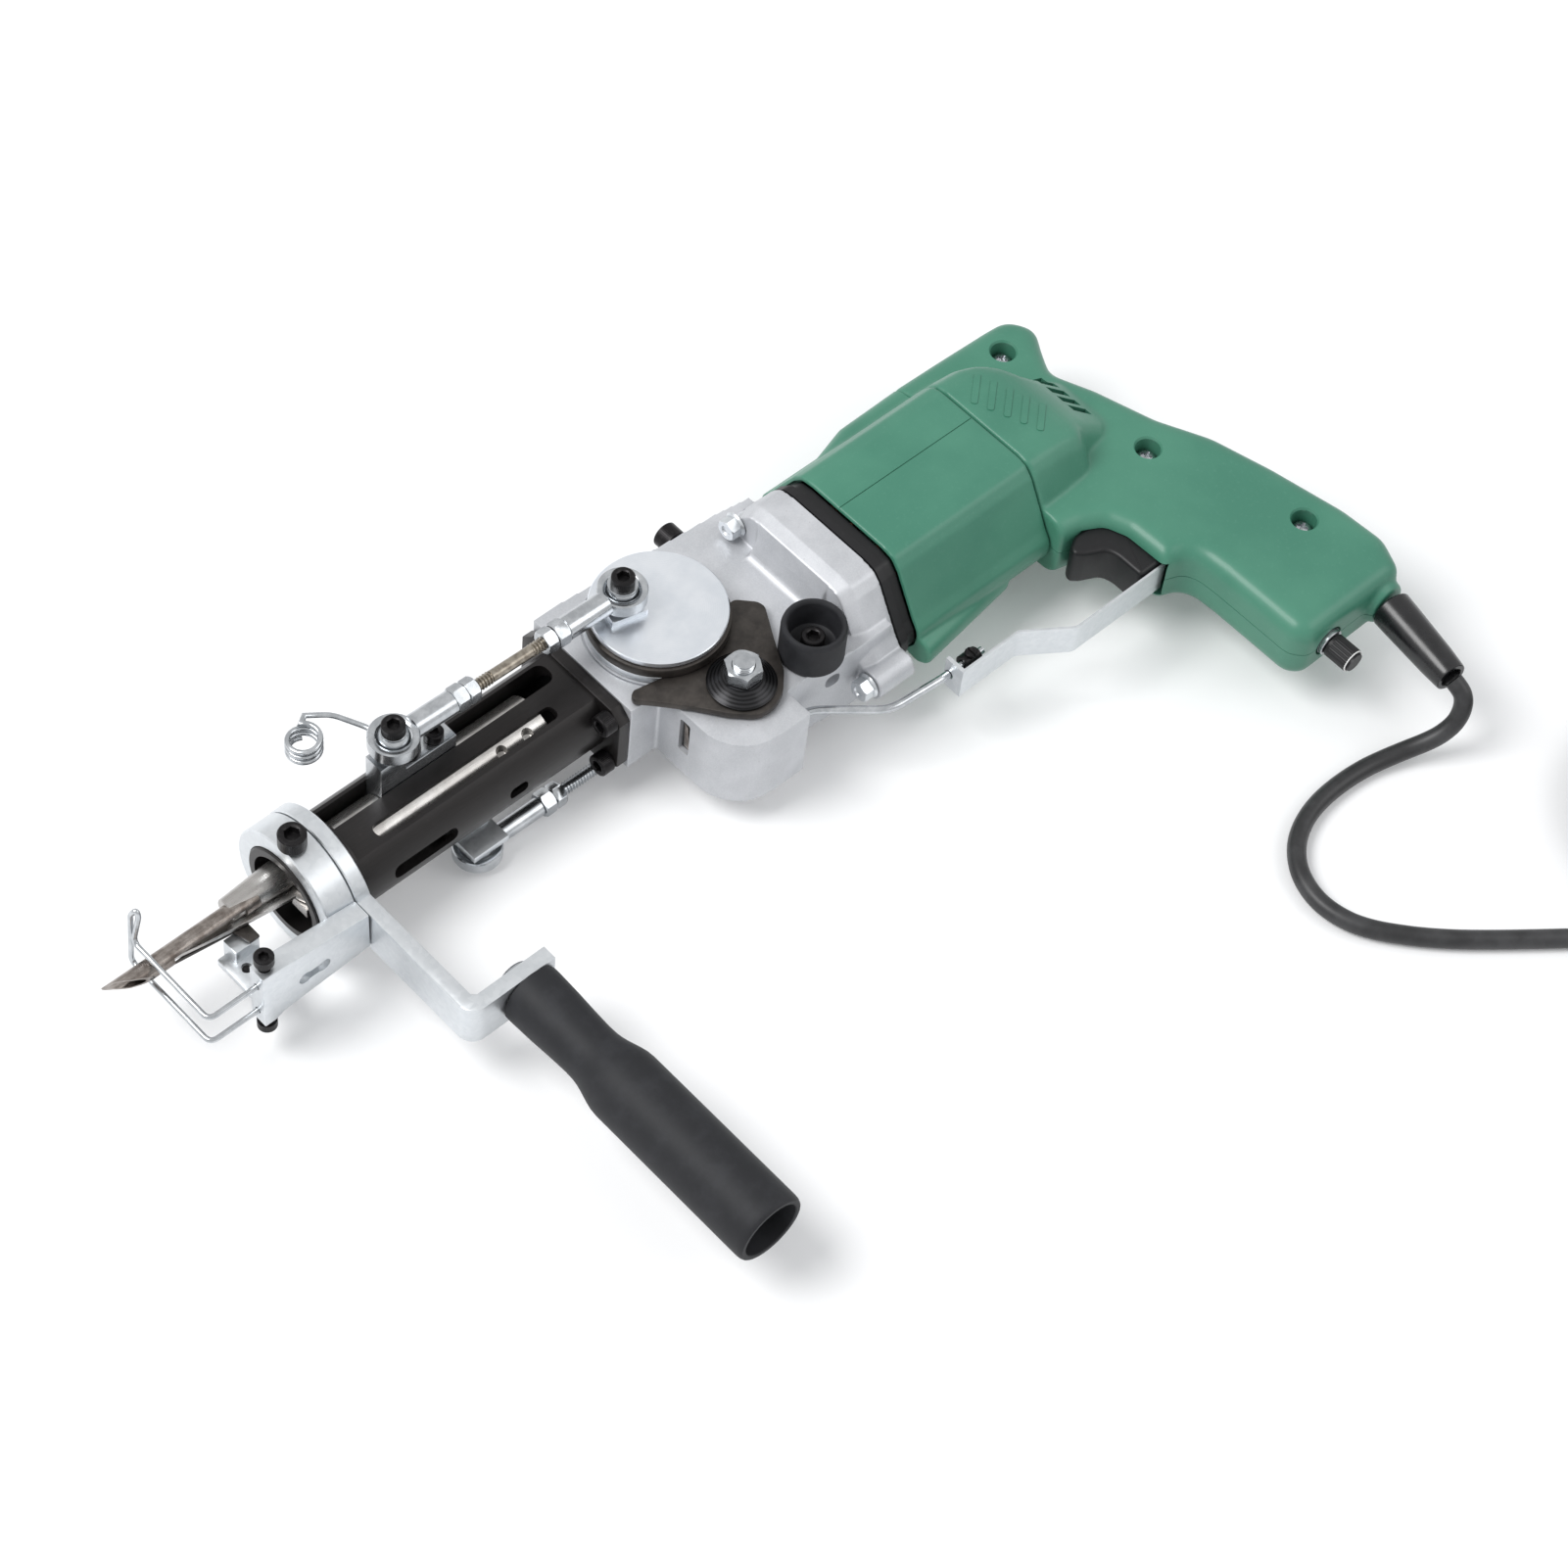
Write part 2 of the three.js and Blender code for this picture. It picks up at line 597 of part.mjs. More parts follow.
function guideLine() {
  const count = guideTurns * guideSteps;
  const coil = Array.from({ length: count + 1 }, (_, at) => {
    const angle = (at / guideSteps) * Math.PI * 2 + guideStartAngle;
    return [guideX + guideCoilRadius * Math.cos(angle), guideFarY + guideCoilRadius * Math.sin(angle),
      guideLowZ + (guidePitch * at) / guideSteps];
  });
  const topZ = guideLowZ + guidePitch * guideTurns;
  const armZ = rodZ - ballHalfHeight - guideRadius;
  const arm = [
    [guideX + guideCoilRadius, guideFarY + guideCoilRadius * 1.2, topZ],
    [frontPinX - guideCoilRadius * 1.4, guideFarY + guideCoilRadius * 0.4, (topZ + armZ) / 2],
    [frontPinX - guideRadius, guideFarY - guideCoilRadius * 1.6, armZ],
    [frontPinX, slotAY + pinSpacerRadius + fit, armZ],
  ];
  return { coil, arm };
}

function leastGap(points, apart, radius) {
  let least = Infinity;
  points.forEach((a, at) => {
    points.slice(at + apart).forEach((b) => {
      least = Math.min(least, Math.hypot(a[0] - b[0], a[1] - b[1], a[2] - b[2]) - radius * 2);
    });
  });
  return least;
}

function yarnGuide() {
  const { coil, arm } = guideLine();
  console.log('least gap of the guide coil to itself', leastGap(coil, guideSteps - 1, guideRadius).toFixed(2));
  return wireThrough([...coil, ...arm], guideRadius, 5);
}

// Connecting rods: two rod ends on a stud, with a ball pin through each ring
const frontPinX = -110;
const crankPinX = -9.9;
const crankPinY = 8.2;
const ringRadius = 9;
const ringHalfHeight = 3;
const rodShankRadius = 4.4;
const rodHexRadius = 4.9;
const studRadius = 2.4;
const nutRadius = 4.7;
const nutLength = 4.4;
const frontShankEnd = 30;
const hexLength = 5;
const rearShankEnd = 31;
const rearNutLength = 4.6;
const pinSpacerRadius = 5;
const crankRadius = Math.hypot(crankPinX, crankPinY);

const upperRodAngle = Math.atan2(crankPinY - slotAY, crankPinX - frontPinX);
const upperRodLength = Math.hypot(crankPinX - frontPinX, crankPinY - slotAY);

function rodEnd(centreX, wayX, shankEnd) {
  const eye = bar([centreX, 0, -ringHalfHeight], [centreX, 0, ringHalfHeight], ringRadius, 20);
  const hexStart = centreX + wayX * (shankEnd - hexLength);
  const end = centreX + wayX * shankEnd;
  const shank = bar([centreX, 0, 0], [hexStart, 0, 0], rodShankRadius);
  const hex = bar([hexStart, 0, 0], [end, 0, 0], rodHexRadius, 6);
  const roomAt = (height) => [centreX, 0, height];
  const room = bar(roomAt(-rodShankRadius * 2), roomAt(rodShankRadius * 2), ballRadius + fit, 20);
  return cut(joined(eye, shank, hex), room);
}

function ballPin(spacer, shank, headSize) {
  const half = Math.sqrt(ballRadius ** 2 - ballHalfHeight ** 2);
  const profile = [
    [0, -ballHalfHeight - spacer - shank],
    [pinShank, -ballHalfHeight - spacer - shank],
    [pinShank, -ballHalfHeight - spacer],
    [pinSpacerRadius, -ballHalfHeight - spacer],
    [half, -ballHalfHeight],
    [ballRadius, 0],
    [half, ballHalfHeight],
    [headSize.head, ballHalfHeight],
    [headSize.head, ballHalfHeight + headSize.height],
    [0, ballHalfHeight + headSize.height],
  ];
  const body = turned(profile, [0, 0, 0], alongZ, 16);
  const top = ballHalfHeight + headSize.height;
  const socket = bar([0, 0, top - headSize.height * socketDepthShare], [0, 0, top + overrun], headSize.socket, 6);
  return cut(body, socket);
}

const nut = (from, to) => cut(bar([from, 0, 0], [to, 0, 0], nutRadius, 6),
  bar([from - overrun, 0, 0], [to + overrun, 0, 0], studRadius + fit, 12));

// Lower connecting rod and the scissor slider that it drives
const lowRodDrop = 25.5;
const lowRodZ = axisZ - lowRodDrop;
const lowPinX = -90.2;
const lowPinY = -10.7;
const leverPinX = 1;
const leverPinY = -11.4;
const lowHeadHeight = 1.4;
const lowHeadRadius = 3.6;
const lowShankEnd = 33;
const lowShankRadius = 3.6;
const lowNutLength = 4.4;
const lowRodAngle = Math.atan2(leverPinY - lowPinY, leverPinX - lowPinX);
const lowRodLength = Math.hypot(leverPinX - lowPinX, leverPinY - lowPinY);
const lowBallHalf = 3.6;
const lowRingHalf = 2.6;
const leverThickness = 2.8;
const leverRadius = 6.5;
const leverGap = 0.5;
const leverTop = castingBottom - leverGap;
const scissorFront = -130;
const scissorRear = -72;
const tongueFront = -160;
const tongueHalf = 4;
const bladeTip = -206.7;
const bladeRear = -142;
const bladeThickness = 1.8;
const bladeDrop = 1.3;
const bladeTopZ = axisZ - bladeDrop;
const bladeLength = bladeRear - bladeTip;
const bladeNearY = -4.3;
const bladeSpan = 12.3;
const bladeShares = [[0, 1], [0.371, 0.667], [0.722, 0.447], [0.753, 0], [1, 0], [1, 0.6], [0.722, 0.854],
  [0.165, 1.163]];
const tabFront = -97;
const tabLength = 15.5;
const tabNear = -17;
const tabThickness = 3;
const tabTop = lowRodZ + lowBallHalf + fit + tabThickness;
const sliderGap = 0.4;

function scissorSlider() {
  const body = bar([scissorFront, barrelY, axisZ], [scissorRear, barrelY, axisZ], boreRadius - fit, roundSides);
  const tongue = box(tongueFront, scissorFront + overrun, barrelY - tongueHalf * 2, barrelY - fit,
    axisZ - tongueHalf * 2, partingZ - sliderGap);
  const above = box(tongueFront - overrun, scissorRear + overrun, barrelY - boreRadius * 2,
    barrelY + boreRadius * 2, partingZ - sliderGap, axisZ + boreRadius * 2);
  const bladeRoom = box(tongueFront - overrun, bladeRear + fit, barrelY - boreRadius * 2,
    barrelY + boreRadius * 2, bladeTopZ - bladeThickness - fit, axisZ);
  const neckHalf = slotBWidth / 2 - fit;
  const neck = box(tabFront, tabFront + tabLength, slotBY - neckHalf, slotBY + neckHalf, tabTop - tabThickness,
    axisZ - boreRadius / 2);
  const tab = box(tabFront, tabFront + tabLength, tabNear, slotBY + neckHalf, tabTop - tabThickness, tabTop);
  return joined(cut(joined(body, tongue), above, bladeRoom), neck, tab, lowPin());
}

function movingBlade() {
  return prismZ(placed(bladeShares, bladeTip, bladeNearY, bladeLength, bladeSpan), bladeTopZ - bladeThickness,
    bladeTopZ);
}

// Low ball pin of the scissor slider: its head is flat because it runs close to the surface below
function lowPin() {
  const half = Math.sqrt(ballRadius ** 2 - lowBallHalf ** 2);
  const profile = [
    [0, -lowBallHalf - lowHeadHeight],
    [lowHeadRadius, -lowBallHalf - lowHeadHeight],
    [lowHeadRadius, -lowBallHalf],
    [half, -lowBallHalf],
    [ballRadius, 0],
    [half, lowBallHalf],
    [pinShank, lowBallHalf],
    [pinShank, lowBallHalf + tabThickness],
    [0, lowBallHalf + tabThickness],
  ];
  return turned(profile, [lowPinX, lowPinY, lowRodZ], alongZ, 16);
}

function lowRodEndFront() {
  const ring = bar([0, 0, -lowRingHalf], [0, 0, lowRingHalf], ringRadius, 20);
  const shank = bar([0, 0, 0], [lowShankEnd - hexLength, 0, 0], lowShankRadius);
  const hex = bar([lowShankEnd - hexLength, 0, 0], [lowShankEnd, 0, 0], rodHexRadius, 6);
  const room = bar([0, 0, -rodShankRadius * 2], [0, 0, rodShankRadius * 2], ballRadius + fit, 20);
  return cut(joined(ring, shank, hex), room);
}

// The rear rod end carries its own ball, which stands just below the lever
function lowRodEndRear() {
  const ring = bar([lowRodLength, 0, -lowRingHalf], [lowRodLength, 0, lowRingHalf], ringRadius, 20);
  const boss = bar([lowRodLength, 0, -lowBallHalf], [lowRodLength, 0, lowBallHalf], pinSpacerRadius, 16);
  const start = lowShankEnd + fit;
  const stud = bar([start, 0, 0], [lowRodLength, 0, 0], studRadius, 12);
  const collar = bar([start, 0, 0], [start + lowNutLength, 0, 0], nutRadius, 6);
  const shank = bar([lowRodLength - ringRadius * 2, 0, 0], [lowRodLength, 0, 0], lowShankRadius);
  return joined(ring, boss, stud, collar, shank);
}

// Clamp ring with the foot bar, set screw, wire screws and the loop of guard wire
const clampFront = -162.7;
const clampLength = 11.6;
const clampRadius = 25;
const collarRoom = tubeRadius + fit;
const footFar = -19.5;
const footThickness = 7.5;
const footNear = footFar - footThickness;
const footLength = 44.4;
const footEnd = clampFront + clampLength - footLength;
const footShares = [[0, 0.83], [0.01, 0.16], [0.82, 0], [1, 0], [1, 1], [0.9, 1], [0.82, 0.93], [0.01, 0.83]];
const footRise = 15.7;
const footTop = axisZ + footRise;
const footHeight = 28;
const footHoleX = -174.6;
const footHoleLength = 9;
const footHoleHeight = 4;
const footHoleDepth = 3;
const wireRadius = 1;
const wireY = -23;
const wireRise = 7.6;
const wireDrop = 6.7;
const wireHighZ = axisZ + wireRise;
const wireLowZ = axisZ - wireDrop;
const wireEnd = -178;
const wireTravel = 6;
const wireSetback = 17.8;
const wireFront = needleTip + wireSetback;
const wireFarY = 16.4;
const wireTopRise = 22;
const wireTopZ = axisZ + wireTopRise;
const wireLoop = 2.4;
const wireLean = 3;
const wireScrewX = -192;
const wireScrewGap = 3.2;
const clampScrewLift = 1.2;

function frontClamp() {
  const rear = clampFront + clampLength;
  const ring = bar([clampFront, barrelY, axisZ], [rear, barrelY, axisZ], clampRadius, ringSides);
  const outline = footShares.map(([x, z]) => [rear - x * footLength, footTop - z * footHeight]);
  const foot = prismY(outline, footNear, footFar);
  const room = bar([clampFront - overrun, barrelY, axisZ], [rear + overrun, barrelY, axisZ], collarRoom, roundSides);
  const wireRooms = [wireHighZ, wireLowZ].map((z) =>
    bar([footEnd - overrun, wireY, z], [wireEnd + wireTravel + fit, wireY, z], wireRadius + fit, 8));
  const screwRooms = [[footTop + overrun, wireHighZ], [footTop - footHeight - overrun, wireLowZ]].map(([from, to]) =>
    bar([wireScrewX, wireY, from], [wireScrewX, wireY, to], smallShank + fit, 12));
  const middle = (wireHighZ + wireLowZ) / 2;
  const slot = box(footHoleX - footHoleLength / 2, footHoleX + footHoleLength / 2, footNear - overrun,
    footNear + footHoleDepth, middle - footHoleHeight / 2, middle + footHoleHeight / 2);
  const clampX = clampFront + clampLength / 3;
  const screwRoom = bar([clampX, barrelY, axisZ], [clampX, barrelY, axisZ + clampRadius + overrun],
    largeShank + fit);
  return cut(joined(ring, foot), room, ...wireRooms, ...screwRooms, slot, screwRoom);
}

function wireScrew(side) {
  const face = side > 0 ? footTop : footTop - footHeight;
  const seat = face + side * wireScrewGap;
  const tip = (side > 0 ? wireHighZ : wireLowZ) + side * (wireRadius + fit);
  return socketScrew([wireScrewX, wireY, seat], [0, 0, side], Math.abs(seat - tip), small);
}

function guardWire() {
  return wireThrough([
    [wireEnd, wireY, wireHighZ],
    [wireFront, wireY, wireHighZ],
    [wireFront, wireFarY, wireHighZ],
    [wireFront + wireLean, wireFarY, wireTopZ - wireLoop],
    [wireFront + wireLean, wireFarY + wireLoop / 2, wireTopZ],
    [wireFront + wireLean / 2, wireFarY + wireLoop, wireTopZ - wireLoop],
    [wireFront, wireFarY + wireLoop, wireLowZ],
    [wireFront, wireY, wireLowZ],
    [wireEnd, wireY, wireLowZ],
  ], wireRadius, 8);
}

// Blade carrier plate with its pillar, and the fixed blade on it
const plateFront = -192;
const plateLength = 14;
const plateThickness = 3;
const plateLift = 1.2;
const plateTop = footTop - footHeight + plateLift;
const plateFar = 3.4;
const plateHoleX = -186.5;
const plateHoleY = -5.5;
const plateHoleRadius = 2;
const pillarFront = -188;
const pillarLength = 10;
const pillarNear = -2;
const pillarFar = 5;
const fixedBladeTip = -207.5;
const fixedBladeLength = pillarFront + pillarLength - fixedBladeTip;
const fixedBladeSpan = 10.5;
const fixedBladeShares = [[0, 0.914], [0.797, 0.629], [0.864, 0], [1, 0], [1, 0.667], [0.73, 1]];
const fixedBladeThickness = 1.6;
const fixedBladeTopZ = bladeTopZ - bladeThickness - fit;

function footPlate() {
  const plate = box(plateFront, plateFront + plateLength, footFar + fit, plateFar, plateTop - plateThickness, plateTop);
  const top = fixedBladeTopZ - fixedBladeThickness - fit;
  const pillar = box(pillarFront, pillarFront + pillarLength, pillarNear, pillarFar, plateTop - plateThickness, top);
  const hole = bar([plateHoleX, plateHoleY, plateTop - plateThickness - overrun],
    [plateHoleX, plateHoleY, plateTop + overrun], plateHoleRadius);
  return cut(joined(plate, pillar), hole);
}

function fixedBlade() {
  return prismZ(placed(fixedBladeShares, fixedBladeTip, pillarNear, fixedBladeLength, fixedBladeSpan),
    fixedBladeTopZ - fixedBladeThickness, fixedBladeTopZ);
}

// Side handle: flat bracket with a ring, bolt and hollow rubber grip
const handleRingThickness = 5.8;
const handleRingRear = -145;
const handleRingRadius = 25.2;
const armHeight = 19.3;
const armNear = -78;
const armBend = 6;
const tabRear = -114.5;
const gripX = -125.7;
const gripLength = 117.5;
const gripRadius = 13.5;
const gripBore = 10.8;
const gripBoreShare = 0.613;
const gripBoreLength = gripLength * gripBoreShare;
const gripShares = [[0.84, 0], [0.84, 0.02], [0.8, 0.1], [0.73, 0.2], [0.72, 0.27], [0.78, 0.31], [0.93, 0.355],
  [1, 0.4], [1, 0.985], [0.96, 1]];
const gripBoltRadius = 3.9;
const gripBoltLength = 24;
const gripBoltHead = 7;
const gripBoltHeadHeight = 3.6;

function handleBracket() {
  const front = handleRingRear - handleRingThickness;
  const ring = bar([front, barrelY, axisZ], [handleRingRear, barrelY, axisZ], handleRingRadius, ringSides);
  const plan = new THREE.Path();
  plan.moveTo(front, barrelY);
  plan.lineTo(front, armNear + armBend);
  plan.absarc(front + armBend, armNear + armBend, armBend, Math.PI, Math.PI * 1.5);
  plan.lineTo(tabRear, armNear);
  plan.lineTo(tabRear, armNear + handleRingThickness);
  plan.lineTo(handleRingRear, armNear + handleRingThickness);
  plan.lineTo(handleRingRear, barrelY);
  const outline = plan.getPoints(4).map(({ x, y }) => [x, y]);
  const arm = prismZ(outline, axisZ - armHeight / 2, axisZ + armHeight / 2);
  const room = bar([front - overrun, barrelY, axisZ], [handleRingRear + overrun, barrelY, axisZ], collarRoom,
    roundSides);
  const boltRoom = bar([gripX, armNear - overrun, axisZ], [gripX, armNear + handleRingThickness + overrun, axisZ],
    gripBoltRadius + fit);
  return cut(joined(ring, arm), room, boltRoom);
}

function handleBolt() {
  const seat = armNear + handleRingThickness + fit;
  const profile = [
    [0, -gripBoltLength - handleRingThickness],
    [gripBoltRadius, -gripBoltLength - handleRingThickness],
    [gripBoltRadius, 0],
    [gripBoltHead, 0],
    [gripBoltHead * 0.8, gripBoltHeadHeight * 0.7],
    [gripBoltHead * 0.4, gripBoltHeadHeight],
    [0, gripBoltHeadHeight],
  ];
  return turned(profile, [gripX, seat, axisZ], alongY, 16);
}

function handleGrip() {
  const start = [gripX, armNear - fit, axisZ];
  const outline = gripShares.map(([radius, along]) => [radius * gripRadius, along * gripLength]);
  const body = turned([[0, 0], ...outline, [0, gripLength]], start, alongY.clone().negate(), 22);
  const end = moved(start, [0, -1, 0], gripLength + overrun);
  const bore = bar(end, moved(start, [0, -1, 0], gripLength - gripBoreLength), gripBore, 24);
  const boltRoom = bar(moved(start, [0, 1, 0], overrun), moved(start, [0, -1, 0], gripLength - gripBoreLength + overrun),
    gripBoltRadius + fit);
  return cut(body, bore, boltRoom);
}

// Crank: disc on top, cam below it, shaft and worm wheel inside the casting
const camRadius = 23.5;
const camLobe = 2.3;
const camShares = [0.2, 0.85];
const shaftDrop = 3;

function crankCam() {
  const outline = [];
  for (let step = 0; step < roundSides; step += 1) {
    const share = step / roundSides;
    const inside = share > camShares[0] && share < camShares[1];
    const angle = share * Math.PI * 2 + Math.PI / 4;
    const radius = camRadius + (inside ? camLobe : 0);
    outline.push([radius * Math.cos(angle), radius * Math.sin(angle)]);
  }
  const cam = prismZ(outline, camTop - camThickness, camTop);
  const shaft = bar([0, 0, axisZ - wheelHalfHeight - shaftDrop], [0, 0, camTop - fit], crankShaftRadius, 20);
  const wheel = bar([0, 0, axisZ - wheelHalfHeight], [0, 0, axisZ + wheelHalfHeight], wheelRadius, 24);
  return joined(cam, shaft, wheel);
}

// Rocker plate on the casting, held by a cone washer and a hex nut
const rockerSpan = 62.6;
const rockerReach = 43;
const rockerLeft = -29.6;
const rockerFar = -10.5;
const rockerShares = [[0.87, 0], [0.904, 0.01], [0.992, 0.144], [1, 0.216], [0.882, 0.51], [0.773, 0.798],
  [0.674, 0.94], [0.58, 1], [0.462, 0.995], [0.34, 0.82], [0.22, 0.584], [0.058, 0.321], [0, 0.237],
  [0.014, 0.19], [0.045, 0.165], [0.2, 0.21], [0.4, 0.27], [0.6, 0.22], [0.75, 0.1]];
const washerRadius = 12.4;
const washerTopRadius = 7.4;
const washerHeight = 4.4;
const hexNutRadius = 7.3;
const hexNutHeight = 6;
const studStandoff = 1.8;

function rockerPlate() {
  const outline = placed(rockerShares, rockerLeft, rockerFar, rockerSpan, -rockerReach);
  const room = bar([rockerX, rockerY, castingBottom], [rockerX, rockerY, 0], rockerShaftRadius + fit, 20);
  return cut(prismZ(outline, rockerTop - rockerThickness, rockerTop), room);
}

const washerLow = rockerTop + fit;
const hexNutLow = washerLow + washerHeight + fit;

function coneWasher() {
  const from = [rockerX, rockerY, washerLow];
  const profile = [
    [0, 0],
    [washerRadius, 0],
    [washerRadius, washerHeight * 0.2],
    [washerTopRadius, washerHeight],
    [0, washerHeight],
  ];
  return cut(turned(profile, from, alongZ, roundSides),
    bar(moved(from, [0, 0, -1], overrun), moved(from, [0, 0, 1], washerHeight + overrun), rockerShaftRadius + fit, 20));
}

function rockerNut() {
  const low = [rockerX, rockerY, hexNutLow];
  const high = moved(low, [0, 0, 1], hexNutHeight);
  return cut(bar(low, high, hexNutRadius, 6),
    bar(moved(low, [0, 0, -1], overrun), moved(high, [0, 0, 1], overrun), rockerShaftRadius + fit, 20));
}

function rockerShaft() {
  const top = hexNutLow + hexNutHeight + studStandoff;
  const shaft = bar([rockerX, rockerY, leverTop - leverThickness], [rockerX, rockerY, top], rockerShaftRadius, 20);
  const disc = (x, y, radius) => bar([x, y, leverTop - leverThickness], [x, y, leverTop], radius, 20);
  const reach = Math.hypot(leverPinX - rockerX, leverPinY - rockerY);
  const side = [(leverPinY - rockerY) / reach * leverRadius, (rockerX - leverPinX) / reach * leverRadius];
  const web = prismZ([
    [rockerX + side[0], rockerY + side[1]],
    [leverPinX + side[0], leverPinY + side[1]],
    [leverPinX - side[0], leverPinY - side[1]],
    [rockerX - side[0], rockerY - side[1]],
  ], leverTop - leverThickness, leverTop);
  return joined(shaft, disc(rockerX, rockerY, leverRadius), disc(leverPinX, leverPinY, leverRadius), web);
}

// Motor: end bracket, shell and armature
const bracketPlateFront = rimRearX + fit;
const bracketPlateLength = 8.7;
const bracketPlateInset = 0.8;
const hubRadius = 9;
const spokeWidth = 5;
const shellFront = bracketPlateFront + bracketPlateLength + fit;
const shellLength = 66.7;
const shellRear = shellFront + shellLength;
const shellWall = 2.8;
const wingFront = 88;
const wingFrontFar = 20;
const wingBlend = 26;
const shellEarInset = 1.6;
const shellEarDrop = 4;
const shellEarLength = 34;
const coreRadius = 20;
const coreStart = 88;
const coreLength = 38;
const fanRadius = 24;
const fanThickness = 6;
const commutatorRadius = 11;
const commutatorLength = 12;
const armatureShaft = 3.2;
const armatureEnd = 152;
const fanGap = 2;

function endBracket() {
  const rear = bracketPlateFront + bracketPlateLength;
  const plate = prismX(motorSection(bracketPlateInset), bracketPlateFront, rear);
  const from = [bracketPlateFront - overrun, motorY, axisZ];
  const to = [rear + overrun, motorY, axisZ];
  const opening = bar(from, to, motorHalfHeight - rimWall, roundSides);
  const half = motorHalfHeight - rimWall + fit;
  const hub = bar([bracketPlateFront, motorY, axisZ], [rear, motorY, axisZ], hubRadius, 20);
  const spokes = [
    box(bracketPlateFront, rear, motorY - half, motorY + half, axisZ - spokeWidth / 2, axisZ + spokeWidth / 2),
    box(bracketPlateFront, rear, motorY - spokeWidth / 2, motorY + spokeWidth / 2, axisZ - half, axisZ + half),
  ];
  return cut(joined(cut(plate, opening), hub, ...spokes), bar(from, to, armatureShaft + fit));
}

function motorShell() {
  const low = axisZ - housingThickness / 2;
  const past = shellRear + housingRound + overrun;
  const wing = slab([
    [wingFront, motorY],
    [wingFront, wingFrontFar],
    [wingFront + wingBlend, housingFar - overrun / 2],
    [past, housingFar],
    [past, motorY],
  ], low, low + housingThickness, housingRound, 0);
  const behind = box(shellRear, past + overrun, motorY - overrun, housingFar + overrun, low - overrun,
    low + housingThickness + overrun);
  const ear = [shellFront, nearBolt[1] + shellEarInset, nearBolt[2] - shellEarDrop];
  const bump = bar(ear, moved(ear, [1, 0, 0], shellEarLength), earRadius, smallSides, earRadius / 2);
  const body = joined(prismX(motorSection(0), shellFront, shellRear), cut(wing, behind), bump);
  return cut(body, prismX(motorSection(shellWall), shellFront - overrun, shellRear + overrun));
}

function armature() {
  const along = (from, length, radius, sides = 14) =>
    bar([from, motorY, axisZ], [from + length, motorY, axisZ], radius, sides);
  const fanStart = bracketPlateFront + bracketPlateLength + fanGap;
  return joined(
    along(-wheelRadius, armatureEnd + wheelRadius, armatureShaft),
    along(-wheelRadius, wheelRadius * 2, wormRadius),
    along(fanStart, fanThickness, fanRadius),
    along(coreStart, coreLength, coreRadius),
    along(coreStart + coreLength, commutatorLength, commutatorRadius),
  );
}

// Rear housing with the pistol handle, parted into an upper and a lower half
const housingFront = shellRear + fit;
const housingLength = 91.3;
const housingFar = 28.5;
const housingReach = 179;
const housingThickness = 28.6;
const housingRoundShare = 0.0447;
const housingRound = Math.min(housingReach, housingLength * 2) * housingRoundShare;
const housingWall = 3;
const housingShares = [[-0.12, 0], [0.229, 0.003], [0.502, 0.007], [0.622, 0.011], [0.692, 0.072], [0.628, 0.123],
  [0.566, 0.179], [0.644, 0.271], [0.725, 0.405], [0.832, 0.514], [0.903, 0.651], [0.969, 0.818], [0.982, 0.925],
  [0.917, 1], [0.397, 1], [0.342, 0.972], [0.342, 0.776], [0.336, 0.7235], [0.306, 0.6955], [0.213, 0.678], [0.207, 0.578],
  [0.171, 0.5315], [0.087, 0.508], [-0.12, 0.483]];
const humpLength = 52;
const humpShares = [[0, 1, 1, 0], [0.25, 0.985, 0.985, 0.005], [0.36, 0.965, 0.95, 0.02], [0.5, 0.91, 0.86, 0.07],
  [0.6, 0.83, 0.66, 0.1], [0.7, 0.72, 0.6, 0.13], [0.82, 0.58, 0.58, 0.15], [1, 0.38, 0.45, 0.16]];
const ventCount = 5;
const ventFront = 179.5;
const ventLength = 7.5;
const ventWidth = 3.4;
const ventPitch = 5.6;
const ventFirstY = -4.5;
const ventSkew = 3;
const ventDepth = 12;
const postRadius = 7;
const postHoleRadius = 4.8;
const headDepth = 7;
const housingScrewShank = 1.8;
const housingScrewHead = 3.8;
const housingScrewHeadHeight = 2.4;
const housingScrewLength = 15;
const postShares = [[0.471, 0.082], [0.563, 0.4564], [0.782, 0.7905]];
const posts = placed(postShares, housingFront, housingFar, housingLength, -housingReach);
const housingTop = axisZ + housingThickness / 2;
const windowFar = -61.9;
const windowNear = -93.4;
const knobX = 189.4;
const bushRadius = 5.6;
const cordBossX = 218;
const cordBossRadius = 8.6;
const cordBossLength = 3;
const cordRadius = 3.5;
const butt = housingFar - housingReach;

function housingOutline() {
  return placed(housingShares, housingFront, housingFar, housingLength, -housingReach);
}

function housingForm(inset) {
  const low = axisZ - housingThickness / 2 + inset;
  const high = housingTop - inset;
  const body = slab(housingOutline(), low, high, housingRound - inset, inset);
  const hump = skin(humpShares.map(([along, tall, wide, aside]) => {
    const x = housingFront + along * (humpLength - inset) - (along === 0 && inset ? overrun : 0);
    const middleY = motorY - aside * humpLength;
    return motorSection(inset).map(([y, z]) =>
      new THREE.Vector3(x, middleY + (y - motorY) * wide, axisZ + (z - axisZ) * tall));
  }));
  const front = housingFront - (inset ? overrun : 0);
  const ahead = box(housingFront - housingLength, front, butt, housingFar, axisZ - housingReach, axisZ + housingReach);
  return joined(cut(body, ahead), hump);
}

